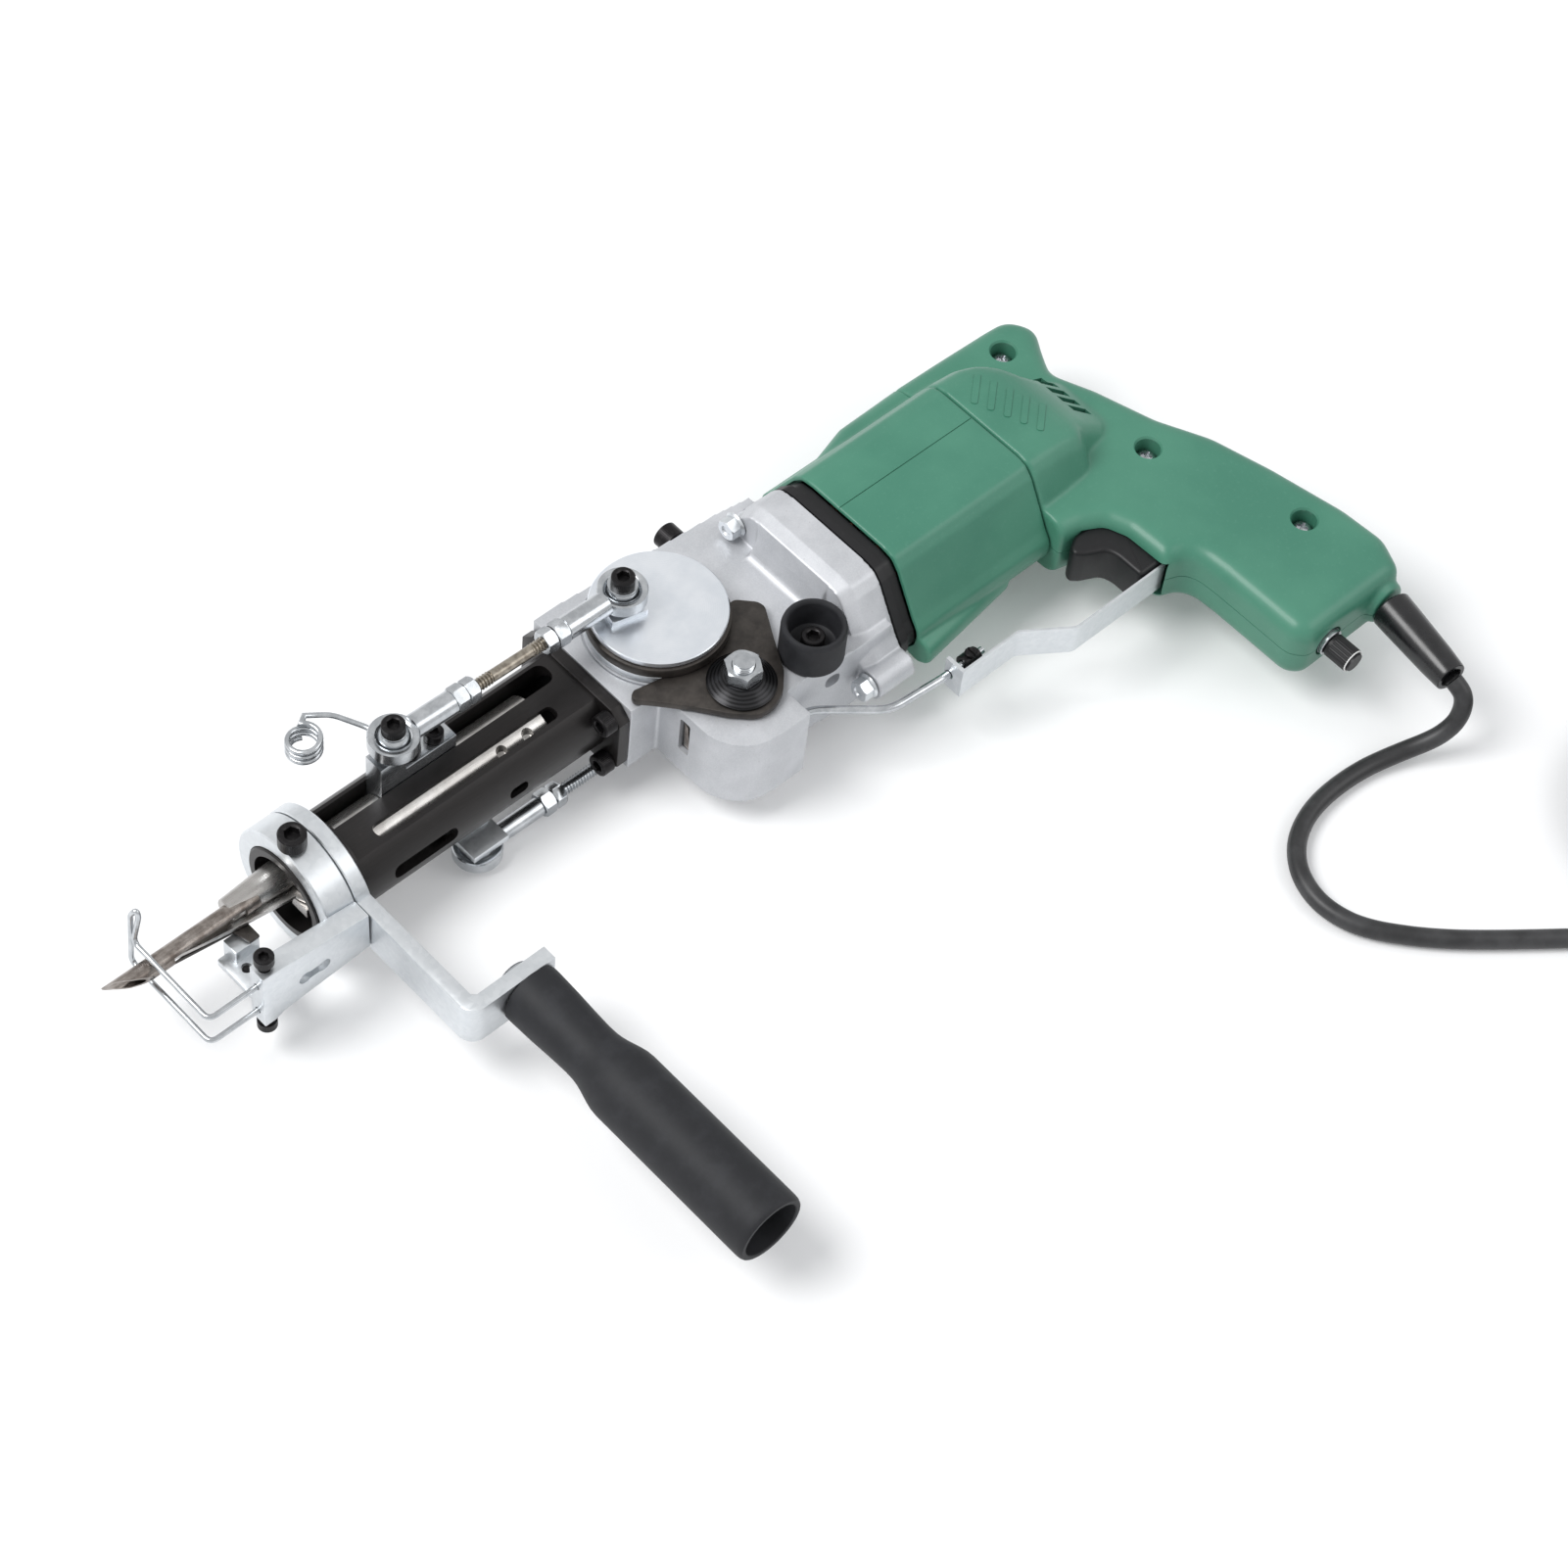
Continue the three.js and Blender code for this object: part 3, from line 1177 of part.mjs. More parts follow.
function housingShell() {
  const bossAt = [cordBossX, butt, axisZ];
  const boss = bar(moved(bossAt, [0, 1, 0], overrun), moved(bossAt, [0, -1, 0], cordBossLength), cordBossRadius, 20);
  const postSolids = posts.map(([x, y]) =>
    bar([x, y, axisZ - housingThickness / 2 + housingWall / 2], [x, y, housingTop - housingWall / 2], postRadius, 16));
  const vents = Array.from({ length: ventCount }, (_, at) => {
    const y = ventFirstY - at * ventPitch;
    return prismZ([
      [ventFront, y + ventSkew],
      [ventFront + ventLength, y],
      [ventFront + ventLength, y - ventWidth],
      [ventFront, y - ventWidth + ventSkew],
    ], housingTop - ventDepth / 2, housingTop + ventDepth * 2);
  });
  const headRooms = posts.map(([x, y]) =>
    bar([x, y, housingTop - headDepth], [x, y, housingTop + overrun], postHoleRadius, 16));
  const shankRooms = posts.map(([x, y]) =>
    bar([x, y, housingTop - headDepth - housingScrewLength - fit], [x, y, housingTop], housingScrewShank + fit, 12));
  const window = box(housingFront, triggerRear + triggerTravel + fit, windowNear, windowFar,
    axisZ - triggerHeight / 2 - fit, axisZ + triggerHeight / 2 + fit);
  const knobRoom = bar([knobX, butt - overrun, axisZ], [knobX, butt + housingWall * 2, axisZ], bushRadius + fit);
  const cordRoom = bar(moved(bossAt, [0, -1, 0], cordBossLength + overrun),
    moved(bossAt, [0, 1, 0], housingWall * 2), cordRadius + fit);
  const hollow = cut(housingForm(0), housingForm(housingWall));
  return cut(joined(hollow, boss, ...postSolids), ...vents, ...headRooms, ...shankRooms, window, knobRoom, cordRoom);
}

function housingHalves() {
  const shell = housingShell();
  const span = housingReach * 2;
  const half = (from, to) => box(-span, span, -span, span, from, to);
  return {
    upper: shell.intersect(half(axisZ + fit / 2, span)),
    lower: shell.intersect(half(-span, axisZ - fit / 2)),
  };
}

function housingScrew([x, y]) {
  const seat = [x, y, housingTop - headDepth + fit];
  const profile = [
    [0, -housingScrewLength],
    [housingScrewShank, -housingScrewLength],
    [housingScrewShank, 0],
    [housingScrewHead, 0],
    [housingScrewHead * 0.8, housingScrewHeadHeight],
    [0, housingScrewHeadHeight],
  ];
  const slotHalf = housingScrewHead * 0.15;
  const armHalf = housingScrewHead * 0.55;
  const floor = seat[2] + housingScrewHeadHeight * 0.4;
  const above = seat[2] + housingScrewHeadHeight + overrun;
  const cross = joined(
    box(x - slotHalf, x + slotHalf, y - armHalf, y + armHalf, floor, above),
    box(x - armHalf, x + armHalf, y - slotHalf, y + slotHalf, floor, above),
  );
  return cut(turned(profile, seat, alongZ, 16), cross);
}

// Switch trigger, the strip on it, and the brake rod that the strip pulls
const triggerFront = 141;
const triggerLength = 27;
const triggerRear = triggerFront + triggerLength;
const triggerFar = -62.2;
const triggerSpan = 28;
const triggerHeight = 17;
const triggerTravel = 5;
const triggerShares = [[1, 0], [0.22, 0], [0.05, 0.09], [0, 0.2], [0.12, 0.3], [0.38, 0.42], [0.44, 0.56],
  [0.44, 1], [1, 1]];
const stripThickness = 1.6;
const stripRear = 164.5;
const stripHeight = 14;
const stripFrontX = 73.4;
const stripLength = stripRear - stripFrontX;
const stripY = triggerFar - triggerSpan - fit - stripThickness / 2;
const stripSpan = 12;
const stripShares = [[1, 0], [0.5, 0], [0.31, 1], [0, 1]];
const stripTabLength = 8;
const rodRadius = 1.5;
const rodY = -53.2;
const rodDepth = 14;
const rodKneeX = 24.4;
const rodBendX = 46.5;
const rodBendY = -71.6;
const rodEndY = -73.6;
const rodEndX = 90;
const rodTabRoom = 0.5;
const rodClampFront = 80;
const rodClampLength = 7.5;
const rodClampHalf = 3.2;
const rodClampHeight = 9;

function trigger() {
  const outline = placed(triggerShares, triggerFront, triggerFar, triggerLength, -triggerSpan);
  return prismZ(outline, axisZ - triggerHeight / 2, axisZ + triggerHeight / 2);
}

function triggerStrip() {
  const line = placed(stripShares, stripFrontX, stripY, stripLength, stripSpan);
  const half = stripThickness / 2;
  const outline = [
    ...line.map(([x, y]) => [x, y - half]),
    ...[...line].reverse().map(([x, y]) => [x, y + half]),
  ];
  const low = axisZ - stripHeight / 2;
  const high = axisZ + stripHeight / 2;
  const endY = stripY + stripSpan;
  const tab = box(stripFrontX, stripFrontX + stripThickness, endY, endY + stripTabLength, low, high);
  const room = bar([stripFrontX - overrun, rodEndY, axisZ], [stripFrontX + overrun * 2, rodEndY, axisZ],
    rodRadius + rodTabRoom, 12);
  return cut(joined(prismZ(outline, low, high), tab), room);
}

function brakeRod() {
  return wireThrough([
    [bulgeRearX - rodDepth + overrun, rodY, axisZ],
    [rodKneeX, rodY, axisZ],
    [rodBendX, rodBendY, axisZ],
    [stripFrontX - overrun, rodEndY, axisZ],
    [rodEndX, rodEndY, axisZ],
  ], rodRadius, 12);
}

function rodClamp() {
  const block = box(rodClampFront, rodClampFront + rodClampLength, rodEndY - rodClampHalf, rodEndY + rodClampHalf,
    axisZ - rodClampHeight / 2, axisZ + rodClampHeight / 2);
  return cut(block, bar([rodClampFront - overrun, rodEndY, axisZ],
    [rodClampFront + rodClampLength + overrun, rodEndY, axisZ], rodRadius + fit, 12));
}

// Speed control in the butt, its knob, and the guard on the cord
const controlRadius = 7;
const controlLength = 12;
const controlGap = 1.6;
const bushStandoff = 1.6;
const stemRadius = 2;
const knobRadius = 4.7;
const knobLength = 10;
const knobStandoff = 0.4;
const guardRadius = 7.8;
const guardEndRadius = 6.2;
const guardLength = 35;
const guardLean = -6.5;

function speedControl() {
  const inner = butt + housingWall + controlGap;
  const outer = butt - bushStandoff;
  return joined(
    bar([knobX, inner, axisZ], [knobX, inner + controlLength, axisZ], controlRadius, 20),
    bar([knobX, outer, axisZ], [knobX, inner + fit, axisZ], bushRadius),
    bar([knobX, outer - knobLength / 2, axisZ], [knobX, outer + fit, axisZ], stemRadius, 12),
  );
}

function speedKnob() {
  const from = [knobX, butt - bushStandoff - knobStandoff, axisZ];
  const body = bar(from, moved(from, [0, -1, 0], knobLength), knobRadius, 20);
  return cut(body, bar(moved(from, [0, 1, 0], overrun), moved(from, [0, -1, 0], knobLength / 2 + fit * 2),
    stemRadius + fit, 12));
}

function cordGuard() {
  const tilt = guardRadius * Math.abs(guardLean) / guardLength;
  const from = [cordBossX, butt - cordBossLength - fit - tilt, axisZ];
  const to = [cordBossX + guardLean, from[1] - guardLength, axisZ];
  const body = bar(from, to, guardRadius, 20, guardEndRadius);
  const way = moved(to, [guardLean / guardLength, -1, 0], overrun);
  return cut(body, bar(moved(from, [-guardLean / guardLength, 1, 0], overrun), way, cordRadius + fit, 12));
}

// Supply cord: free stretch on the surface, a flat coil of six turns, and the plug
const cordSides = 8;
const cordSteps = 40;
const coilSides = 6;
const coilSteps = 24;
const floorZ = axisZ - motorHalfHeight;
const cordRoute = [[211.2, -191.7, -26], [211.2, -196.6, -28.6], [210.4, -198.9, -33], [207.6, -199.6, -39.5],
  [202, -197.5, -45.8], [193, -192.6, -50.9], [178.5, -187.6, -53.6], [162, -186, -54], [147, -187.6, -54],
  [134.5, -193, -54], [125.5, -202.5, -54], [121.5, -215.5, -54], [124, -229.5, -54], [133, -243, -54],
  [148, -258.5, -54], [176.8, -282.2, -54], [200, -301.1, -54], [223.97, -319.62, -54]];
const coilLead = 7;
const coilStartX = 224.22;
const coilStartY = -319.8;
const coilHeading = -0.6581;
const coilTurns = 6;
const coilRadius = 51;
const coilPitch = 7.8;
const coilRise = 7.8;
const climbTurns = 0.5;
const coilTail = 46;
const plugLength = 36;
const plugWidth = 24;
const plugHeight = 22;
const plugPinLength = 19;
const plugPinRadius = 2.2;
const plugPinSpread = 9.5;
const coilZ = floorZ + cordRadius;
const heading = new THREE.Vector3(Math.cos(coilHeading), Math.sin(coilHeading), 0);
const leftward = new THREE.Vector3(-Math.sin(coilHeading), Math.cos(coilHeading), 0);

class CoilCurve extends THREE.Curve {
  constructor() {
    super();
    this.start = new THREE.Vector3(coilStartX, coilStartY, coilZ);
    this.spiral = coilTurns * Math.PI * 2 * (coilRadius - coilPitch * coilTurns / 4);
    this.total = coilLead + this.spiral + coilTail;
  }

  getPoint(t, target = new THREE.Vector3()) {
    const along = t * this.total;
    const first = this.start.clone().addScaledVector(heading, coilLead);
    if (along < coilLead) return target.copy(this.start).addScaledVector(heading, along);
    const beyond = Math.max(along - coilLead - this.spiral, 0);
    const turn = Math.min((along - coilLead) / this.spiral, 1) * coilTurns;
    const middle = coilTurns / 2;
    const radius = coilRadius - coilPitch * (middle - Math.abs(middle - turn));
    const climb = THREE.MathUtils.clamp((turn - middle) / climbTurns + 0.5, 0, 1);
    const angle = turn * Math.PI * 2;
    const centre = first.clone().addScaledVector(leftward, coilRadius);
    return target.copy(centre).addScaledVector(leftward, -radius * Math.cos(angle))
      .addScaledVector(heading, radius * Math.sin(angle) + beyond)
      .setZ(coilZ + coilRise * climb);
  }
}

function coilGap(curve) {
  const count = coilTurns * coilSteps * 2;
  const points = Array.from({ length: count + 1 }, (_, at) => curve.getPoint(at / count).toArray());
  return leastGap(points, coilSteps, cordRadius);
}

function cordTube() {
  const curve = new THREE.CatmullRomCurve3(cordRoute.map((at) => new THREE.Vector3(...at)), false, 'centripetal');
  return wire(curve, cordRadius, cordSteps, cordSides);
}

function plug(curve) {
  const start = curve.getPoint(1).addScaledVector(heading, fit);
  const far = start.clone().addScaledVector(heading, plugLength);
  const side = leftward.clone().multiplyScalar(plugWidth / 2);
  const base = [start.clone().add(side), start.clone().sub(side), far.clone().sub(side), far.clone().add(side)];
  const body = prismZ(base.map(({ x, y }) => [x, y]), start.z - plugHeight / 2, start.z + plugHeight / 2);
  const pins = [1, -1].map((way) => {
    const from = far.clone().addScaledVector(leftward, way * plugPinSpread).addScaledVector(heading, -overrun);
    const to = from.clone().addScaledVector(heading, plugPinLength + overrun);
    return bar([from.x, from.y, from.z], [to.x, to.y, to.z], plugPinRadius, 10);
  });
  return joined(body, ...pins);
}

// Assembly

function fastened() {
  piece('gearbox_casting', gearboxCasting(), castAluminium);
  piece('bolt_far', flangeBolt(farBolt), zincPlate);
  piece('bolt_near', flangeBolt(nearBolt), zincPlate);
  const capSeat = [capX, capSeatY + fit, capZ];
  const capSize = { shank: mediumShank, head: capHeadRadius, height: capHeadHeight, socket: largeSocket };
  piece('shaft_cap_screw', socketScrew(capSeat, [0, 1, 0], capLength - overrun, capSize), blackScrew);
  piece('rubber_cup', rubberCup(), blackRubber);
  const cupSeat = [cupX, cupY, castingTop + cupBase + fit * 2];
  piece('cup_screw', socketScrew(cupSeat, [0, 0, 1], cupBase + cupScrewDepth - fit, medium), blackScrew);
  piece('slotted_tube', slottedTube(), blackAnodised);
  flangeScrews.forEach(([, y, z], at) => {
    const seat = [flangeFront - fit, y, z];
    piece(`flange_screw_${at ? 'lower' : 'upper'}`, socketScrew(seat, [-1, 0, 0], flangeScrewLength, medium), blackScrew);
  });
  piece('front_clamp', frontClamp(), zincPlate);
  const clampSeat = [clampFront + clampLength / 3, barrelY, axisZ + clampRadius + clampScrewLift];
  const clampDepth = clampSeat[2] - axisZ - tubeRadius - fit;
  piece('clamp_screw', socketScrew(clampSeat, [0, 0, 1], clampDepth, large), blackScrew);
  piece('wire_screw_upper', wireScrew(1), blackScrew);
  piece('wire_screw_lower', wireScrew(-1), blackScrew);
  piece('foot_plate', footPlate(), zincPlate);
  piece('fixed_blade', fixedBlade(), darkSteel);
  piece('handle_bracket', handleBracket(), zincPlate);
  piece('handle_bolt', handleBolt(), zincPlate);
  piece('handle_grip', handleGrip(), blackRubber);
  piece('end_bracket', endBracket(), blackPlastic);
  piece('motor_shell', motorShell(), greenPlastic);
  const halves = housingHalves();
  piece('housing_upper', halves.upper, greenPlastic);
  piece('housing_lower', halves.lower, greenPlastic);
  ['rear', 'middle', 'butt'].forEach((place, at) => {
    piece(`housing_screw_${place}`, housingScrew(posts[at]), zincPlate);
  });
  piece('speed_control', speedControl(), zincPlate);
  piece('cord_guard', cordGuard(), blackRubber);
}

function moving() {
  piece('crank_disc', bar([0, 0, -discThickness], [0, 0, 0], discRadius, ringSides + smallSides), zincPlate);
  piece('crank_cam', crankCam(), darkSteel);
  piece('armature', armature(), copperWire);
  piece('rocker_plate', rockerPlate(), darkSteel);
  piece('cone_washer', coneWasher(), darkSteel);
  piece('rocker_nut', rockerNut(), zincPlate);
  piece('rocker_shaft', rockerShaft(), zincPlate);
  piece('needle_slider', needleSlider(), brightSteel);
  piece('needle', needle(), brightSteel);
  piece('slider_bracket', sliderBracket(), zincPlate);
  piece('bracket_screw_front',
    socketScrew([bracketScrewFrontX, slotAY, bracketStepTop + fit], [0, 0, 1], bracketScrewLength, small), blackScrew);
  piece('bracket_screw_rear',
    socketScrew([bracketScrewRearX, slotAY, bracketStepTop + fit], [0, 0, 1], bracketScrewLength, small), blackScrew);
  piece('yarn_guide', yarnGuide(), zincPlate);
  piece('scissor_slider', scissorSlider(), brightSteel);
  piece('moving_blade', movingBlade(), brightSteel);
  piece('guard_wire', guardWire(), zincPlate);
  piece('trigger', trigger(), blackPlastic);
  piece('trigger_strip', triggerStrip(), zincPlate);
  piece('brake_rod', brakeRod(), brightSteel);
  piece('rod_clamp', rodClamp(), blackScrew);
  piece('speed_knob', speedKnob(), blackPlastic);
}

function upperRod() {
  const rod = new THREE.Group();
  rod.position.set(frontPinX, slotAY, rodZ);
  rod.rotation.z = upperRodAngle;
  machine.add(rod);
  const end = upperRodLength;
  const spacer = rodZ - ballHalfHeight - bracketTop - fit;
  piece('front_pin', ballPin(spacer, pinDepth - fit, medium), blackScrew, rod);
  piece('rod_end_front', rodEnd(0, 1, frontShankEnd), zincPlate, rod);
  piece('rod_end_rear', rodEnd(end, -1, rearShankEnd), zincPlate, rod);
  piece('crank_pin', ballPin(rodZ - ballHalfHeight - fit * 2, fit, medium), blackScrew, rod).position.x = end;
  const frontNut = frontShankEnd + fit;
  const rearNut = end - rearShankEnd - fit;
  piece('jam_nut_front', nut(frontNut, frontNut + nutLength), zincPlate, rod);
  piece('jam_nut_rear', nut(rearNut - rearNutLength, rearNut), zincPlate, rod);
  piece('rod_stud', bar([frontNut, 0, 0], [rearNut, 0, 0], studRadius, 10), copperWire, rod);
}

function lowerRod() {
  const rod = new THREE.Group();
  rod.position.set(lowPinX, lowPinY, lowRodZ);
  rod.rotation.z = lowRodAngle;
  machine.add(rod);
  piece('lower_rod_end_front', lowRodEndFront(), zincPlate, rod);
  piece('lower_rod_end_rear', lowRodEndRear(), zincPlate, rod);
}

fastened();
moving();
upperRod();
lowerRod();

// The frame's origin is under the middle of the machine, cord not counted
machine.updateMatrixWorld(true);
const bounds = new THREE.Box3().setFromObject(machine, true);
const origin = new THREE.Vector3((bounds.min.x + bounds.max.x) / 2, (bounds.min.y + bounds.max.y) / 2, bounds.min.z);

const coil = new CoilCurve();
piece('cord', cordTube(), blackRubber);
piece('cord_coil', wire(coil, cordRadius, coilTurns * coilSteps, coilSides), blackRubber);
piece('plug', plug(coil), blackPlastic);
console.log('least gap of the coil to itself', coilGap(coil).toFixed(2), 'origin', origin.toArray());

machine.position.copy(origin).negate();
const group = new THREE.Group();
group.add(machine);

export default group;
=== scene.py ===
"""Dresses the handheld tufting machine: smooth pieces, fine detail and finishes over its solids."""
import math

import bmesh
import bpy
from mathutils import Matrix, Vector


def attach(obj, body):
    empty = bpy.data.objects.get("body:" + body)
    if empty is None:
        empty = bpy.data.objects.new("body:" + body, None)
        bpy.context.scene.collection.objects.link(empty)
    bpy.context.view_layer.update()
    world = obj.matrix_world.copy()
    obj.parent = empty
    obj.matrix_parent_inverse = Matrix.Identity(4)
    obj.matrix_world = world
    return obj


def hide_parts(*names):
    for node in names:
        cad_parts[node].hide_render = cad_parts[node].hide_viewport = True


# Sizes are in millimetres from the crank axis, whose disc top is at height 0. ROW is where the
# row frame's origin lies, and to_row() turns such a point into metres in the row frame.
ROW = Vector((-0.5217, -78.4709, -57.5))
METRE = 0.001
PLATE = 1601
AXIS_Z = -26.0
BARREL_Y = 3.4
MOTOR_Y = -15.0
CASTING_TOP = -11.0
CASTING_LOW = -44.0
FIT = 0.3
SCREW_ROOM = 2.8
# Places that several pieces share. An axis along X is given as (y, z), and an upright one as (x, y).
BARREL = (BARREL_Y, AXIS_Z)
TUBE_RADIUS, RING_BORE, SLIDE_RADIUS = 18.6, 18.9, 12.3
MOTOR = (MOTOR_Y, AXIS_Z)
MOTOR_WIDE, MOTOR_TALL = 41.7, 31.5
MOTOR_BORE = 27
BOLT_X, BOLT_FAR, BOLT_NEAR = 49.5, (13, -5.7), (-58.2, -27.5)
FLANGE_Y, FLANGE_Z = -17.5, {"upper": -16, "lower": -39}
FRONT_PIN_X = -110
SLIDER_SCREWS = {"front": -102.6, "rear": -92.5}
CLAMP_X = -158.8
WIRE_SCREWS, WIRE_Z = (-192, -23), (-18.4, -32.7)
ROCKER_AXIS = (3.9, -39.1)
ROCKER_HOLE = 4.3
LEVER_PIN = (1, -11.4)
SLIDE_PIN = (-90.2, -10.7, -51.5)
CUP = (33.9, -42.7)
CAP_X, CAP_Z = 33, -17
KNOB_X = 189.4
CORD_X = 218

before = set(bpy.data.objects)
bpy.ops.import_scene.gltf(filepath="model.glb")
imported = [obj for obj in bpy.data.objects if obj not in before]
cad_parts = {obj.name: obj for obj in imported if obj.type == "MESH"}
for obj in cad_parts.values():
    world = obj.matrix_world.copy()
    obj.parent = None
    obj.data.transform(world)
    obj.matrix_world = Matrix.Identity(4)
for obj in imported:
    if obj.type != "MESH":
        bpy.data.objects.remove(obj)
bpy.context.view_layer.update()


def to_row(point):
    return (Vector(point) - ROW) * METRE


# Camera.

def look():
    """The camera: its turn, tilt and roll, its distance, and where it sees the crank's centre."""
    turn, tilt, roll = (math.radians(a) for a in (-49.24, 54.48, 7.64))
    focal, distance, centre = 4000.0, 1355.93, PLATE / 2
    away = Vector((-math.sin(turn) * math.cos(tilt), math.cos(turn) * math.cos(tilt), -math.sin(tilt)))
    right = Vector((math.cos(turn), math.sin(turn), 0))
    up = right.cross(away)
    side = right * math.cos(roll) + up * math.sin(roll)
    top = up * math.cos(roll) - right * math.sin(roll)
    across, down = 672.2, 619.2
    ray = Vector(((across - centre) / focal, -(down - centre) / focal, 1.0))
    seat = -(side * ray.x + top * ray.y + away * ray.z) * distance
    data = bpy.data.cameras.new("view")
    data.lens = 36 * focal / PLATE
    data.sensor_width = 36
    data.clip_start, data.clip_end = 0.05, 50
    camera = bpy.data.objects.new("view", data)
    bpy.context.scene.collection.objects.link(camera)
    turned = Matrix((side, top, -away)).transposed().to_4x4()
    camera.matrix_world = Matrix.Translation(to_row(seat)) @ turned
    bpy.context.scene.camera = camera


look()


# Finishes.

class Field:
    """A shader value that takes part in plain sums."""

    def __init__(self, finish, socket):
        self.finish = finish
        self.socket = socket

    def sum(self, operation, *values):
        return self.finish.node("Math", {"operation": operation}, dict(enumerate(values)))

    def __add__(self, other):
        return self.sum("ADD", self, other)

    __radd__ = __add__

    def __rsub__(self, other):
        return self.sum("SUBTRACT", other, self)

    def __mul__(self, other):
        return self.sum("MULTIPLY", self, other)

    __rmul__ = __mul__

    def above(self, low, high):
        """0 below low, 1 above high."""
        steps = {"From Min": low, "From Max": high, "Value": self}
        return self.finish.node("MapRange", {"interpolation_type": "SMOOTHSTEP"}, steps)


class Finish:
    """A material: one Principled shader and the fields that feed it."""

    def __init__(self, name, metallic=0.0, **fixed):
        self.material = bpy.data.materials.new(name)
        self.material.use_nodes = True
        self.tree = self.material.node_tree
        self.shader = self.tree.nodes["Principled BSDF"]
        self.set(Metallic=metallic, **fixed)
        self.place = self.node("TexCoord", {}, {}, "Object")

    def node(self, kind, settings, sockets, output=0):
        made = self.tree.nodes.new("ShaderNode" + kind)
        for key, value in settings.items():
            setattr(made, key, value)
        for key, value in sockets.items():
            self.feed(made.inputs[key], value)
        return Field(self, made.outputs[output])

    def feed(self, socket, value):
        if isinstance(value, Field):
            self.tree.links.new(value.socket, socket)
        elif isinstance(value, tuple) and len(value) == 3 and len(socket.default_value) == 4:
            socket.default_value = (*value, 1)
        else:
            socket.default_value = value

    def set(self, **sockets):
        for key, value in sockets.items():
            self.feed(self.shader.inputs[key.replace("_", " ")], value)

    def noise(self, size, detail=3.0, rough=0.55, stretch=None):
        """Noise with features of about size millimetres."""
        where = self.place
        if stretch:
            where = self.node("Mapping", {}, {"Vector": where, "Scale": stretch})
        sockets = {"Vector": where, "Scale": 1 / (size * METRE), "Detail": detail, "Roughness": rough}
        return self.node("TexNoise", {}, sockets)

    def cells(self, size, output=0):
        return self.node("TexVoronoi", {}, {"Vector": self.place, "Scale": 1 / (size * METRE)}, output)

    def rings(self, centre, scale, distortion, detail):
        """Fine rings round an upright axis."""
        about = self.node("Mapping", {}, {"Vector": self.place,
                                          "Location": tuple(-c for c in to_row((*centre, 0)))})
        return self.node("TexWave", {"wave_type": "RINGS", "rings_direction": "Z"},
                         {"Vector": about, "Scale": scale, "Distortion": distortion, "Detail": detail}, "Fac")

    def tint(self, share, low, high):
        """From colour low to colour high as share goes from 0 to 1."""
        return self.node("Mix", {"data_type": "RGBA"}, {0: share, 6: low, 7: high}, 2)

    def bump(self, height, depth, strength=1.0, under=None):
        sockets = {"Strength": strength, "Distance": depth * METRE, "Height": height}
        if under is not None:
            sockets["Normal"] = under
        return self.node("Bump", {}, sockets)


def moulded_green():
    finish = Finish("moulded_green", Specular_IOR_Level=0.45, Coat_Weight=0.05)
    patches = finish.noise(38, 3)
    speckle = finish.noise(1.4, 2)
    scuffs = finish.noise(3.2, 6, 0.7, (1, 6, 1)).above(0.66, 0.8)
    base = finish.tint(patches.above(0.3, 0.7), (0.05, 0.2, 0.133), (0.068, 0.236, 0.158))
    base = finish.tint(speckle.above(0.55, 0.8) * 0.25, base, (0.1, 0.28, 0.2))
    base = finish.tint(scuffs * 0.2, base, (0.17, 0.37, 0.28))
    grain = finish.bump(finish.noise(0.5, 3, 0.6), 0.05, 0.35)
    finish.set(Base_Color=base, Roughness=0.33 + patches * 0.12 + scuffs * 0.1,
               Normal=finish.bump(finish.noise(14, 2), 0.35, 0.25, grain))
    return finish.material


def plain_finish(name, patches, low, high, share, colours, rough, grain, **fixed):
    """Patches of noise between two colours, with a fine grain. rough is its least roughness and its span."""
    finish = Finish(name, **fixed)
    field = finish.noise(*patches)
    size, detail, depth, strength = grain
    finish.set(Base_Color=finish.tint(field.above(low, high) * share, *colours),
               Roughness=rough[0] + field * rough[1],
               Normal=finish.bump(finish.noise(size, detail), depth, strength))
    return finish.material


def blasted_aluminium():
    finish = Finish("blasted_aluminium", 0.45)
    clouds = finish.noise(16, 4, 0.6)
    grit = finish.noise(0.55, 4, 0.65)
    pits = 1 - finish.cells(2.6).above(0.05, 0.16)
    base = finish.tint(clouds.above(0.35, 0.7), (0.5, 0.512, 0.535), (0.59, 0.6, 0.625))
    base = finish.tint(grit.above(0.35, 0.75) * 0.4, base, (0.7, 0.71, 0.725))
    base = finish.tint(pits * clouds.above(0.52, 0.62) * 0.45, base, (0.36, 0.36, 0.37))
    rough = finish.bump(grit, 0.08, 0.5)
    finish.set(Base_Color=base, Roughness=0.4 + clouds * 0.16, Normal=finish.bump(clouds, 0.2, 0.25, rough))
    return finish.material


def zinc_coat():
    finish = Finish("zinc_coat", 0.85)
    spangle = finish.node("SeparateColor", {}, {0: finish.cells(1.6, 1)})
    haze = finish.noise(9, 4, 0.6)
    base = finish.tint(spangle * 0.3 + haze * 0.5, (0.6, 0.63, 0.655), (0.78, 0.8, 0.82))
    specks = finish.noise(0.5, 4).above(0.66, 0.8)
    base = finish.tint(specks * 0.35, base, (0.36, 0.37, 0.385))
    finish.set(Base_Color=base, Roughness=0.25 + haze * 0.12 + spangle * 0.05,
               Normal=finish.bump(finish.noise(0.45, 3), 0.006, 0.5))
    return finish.material


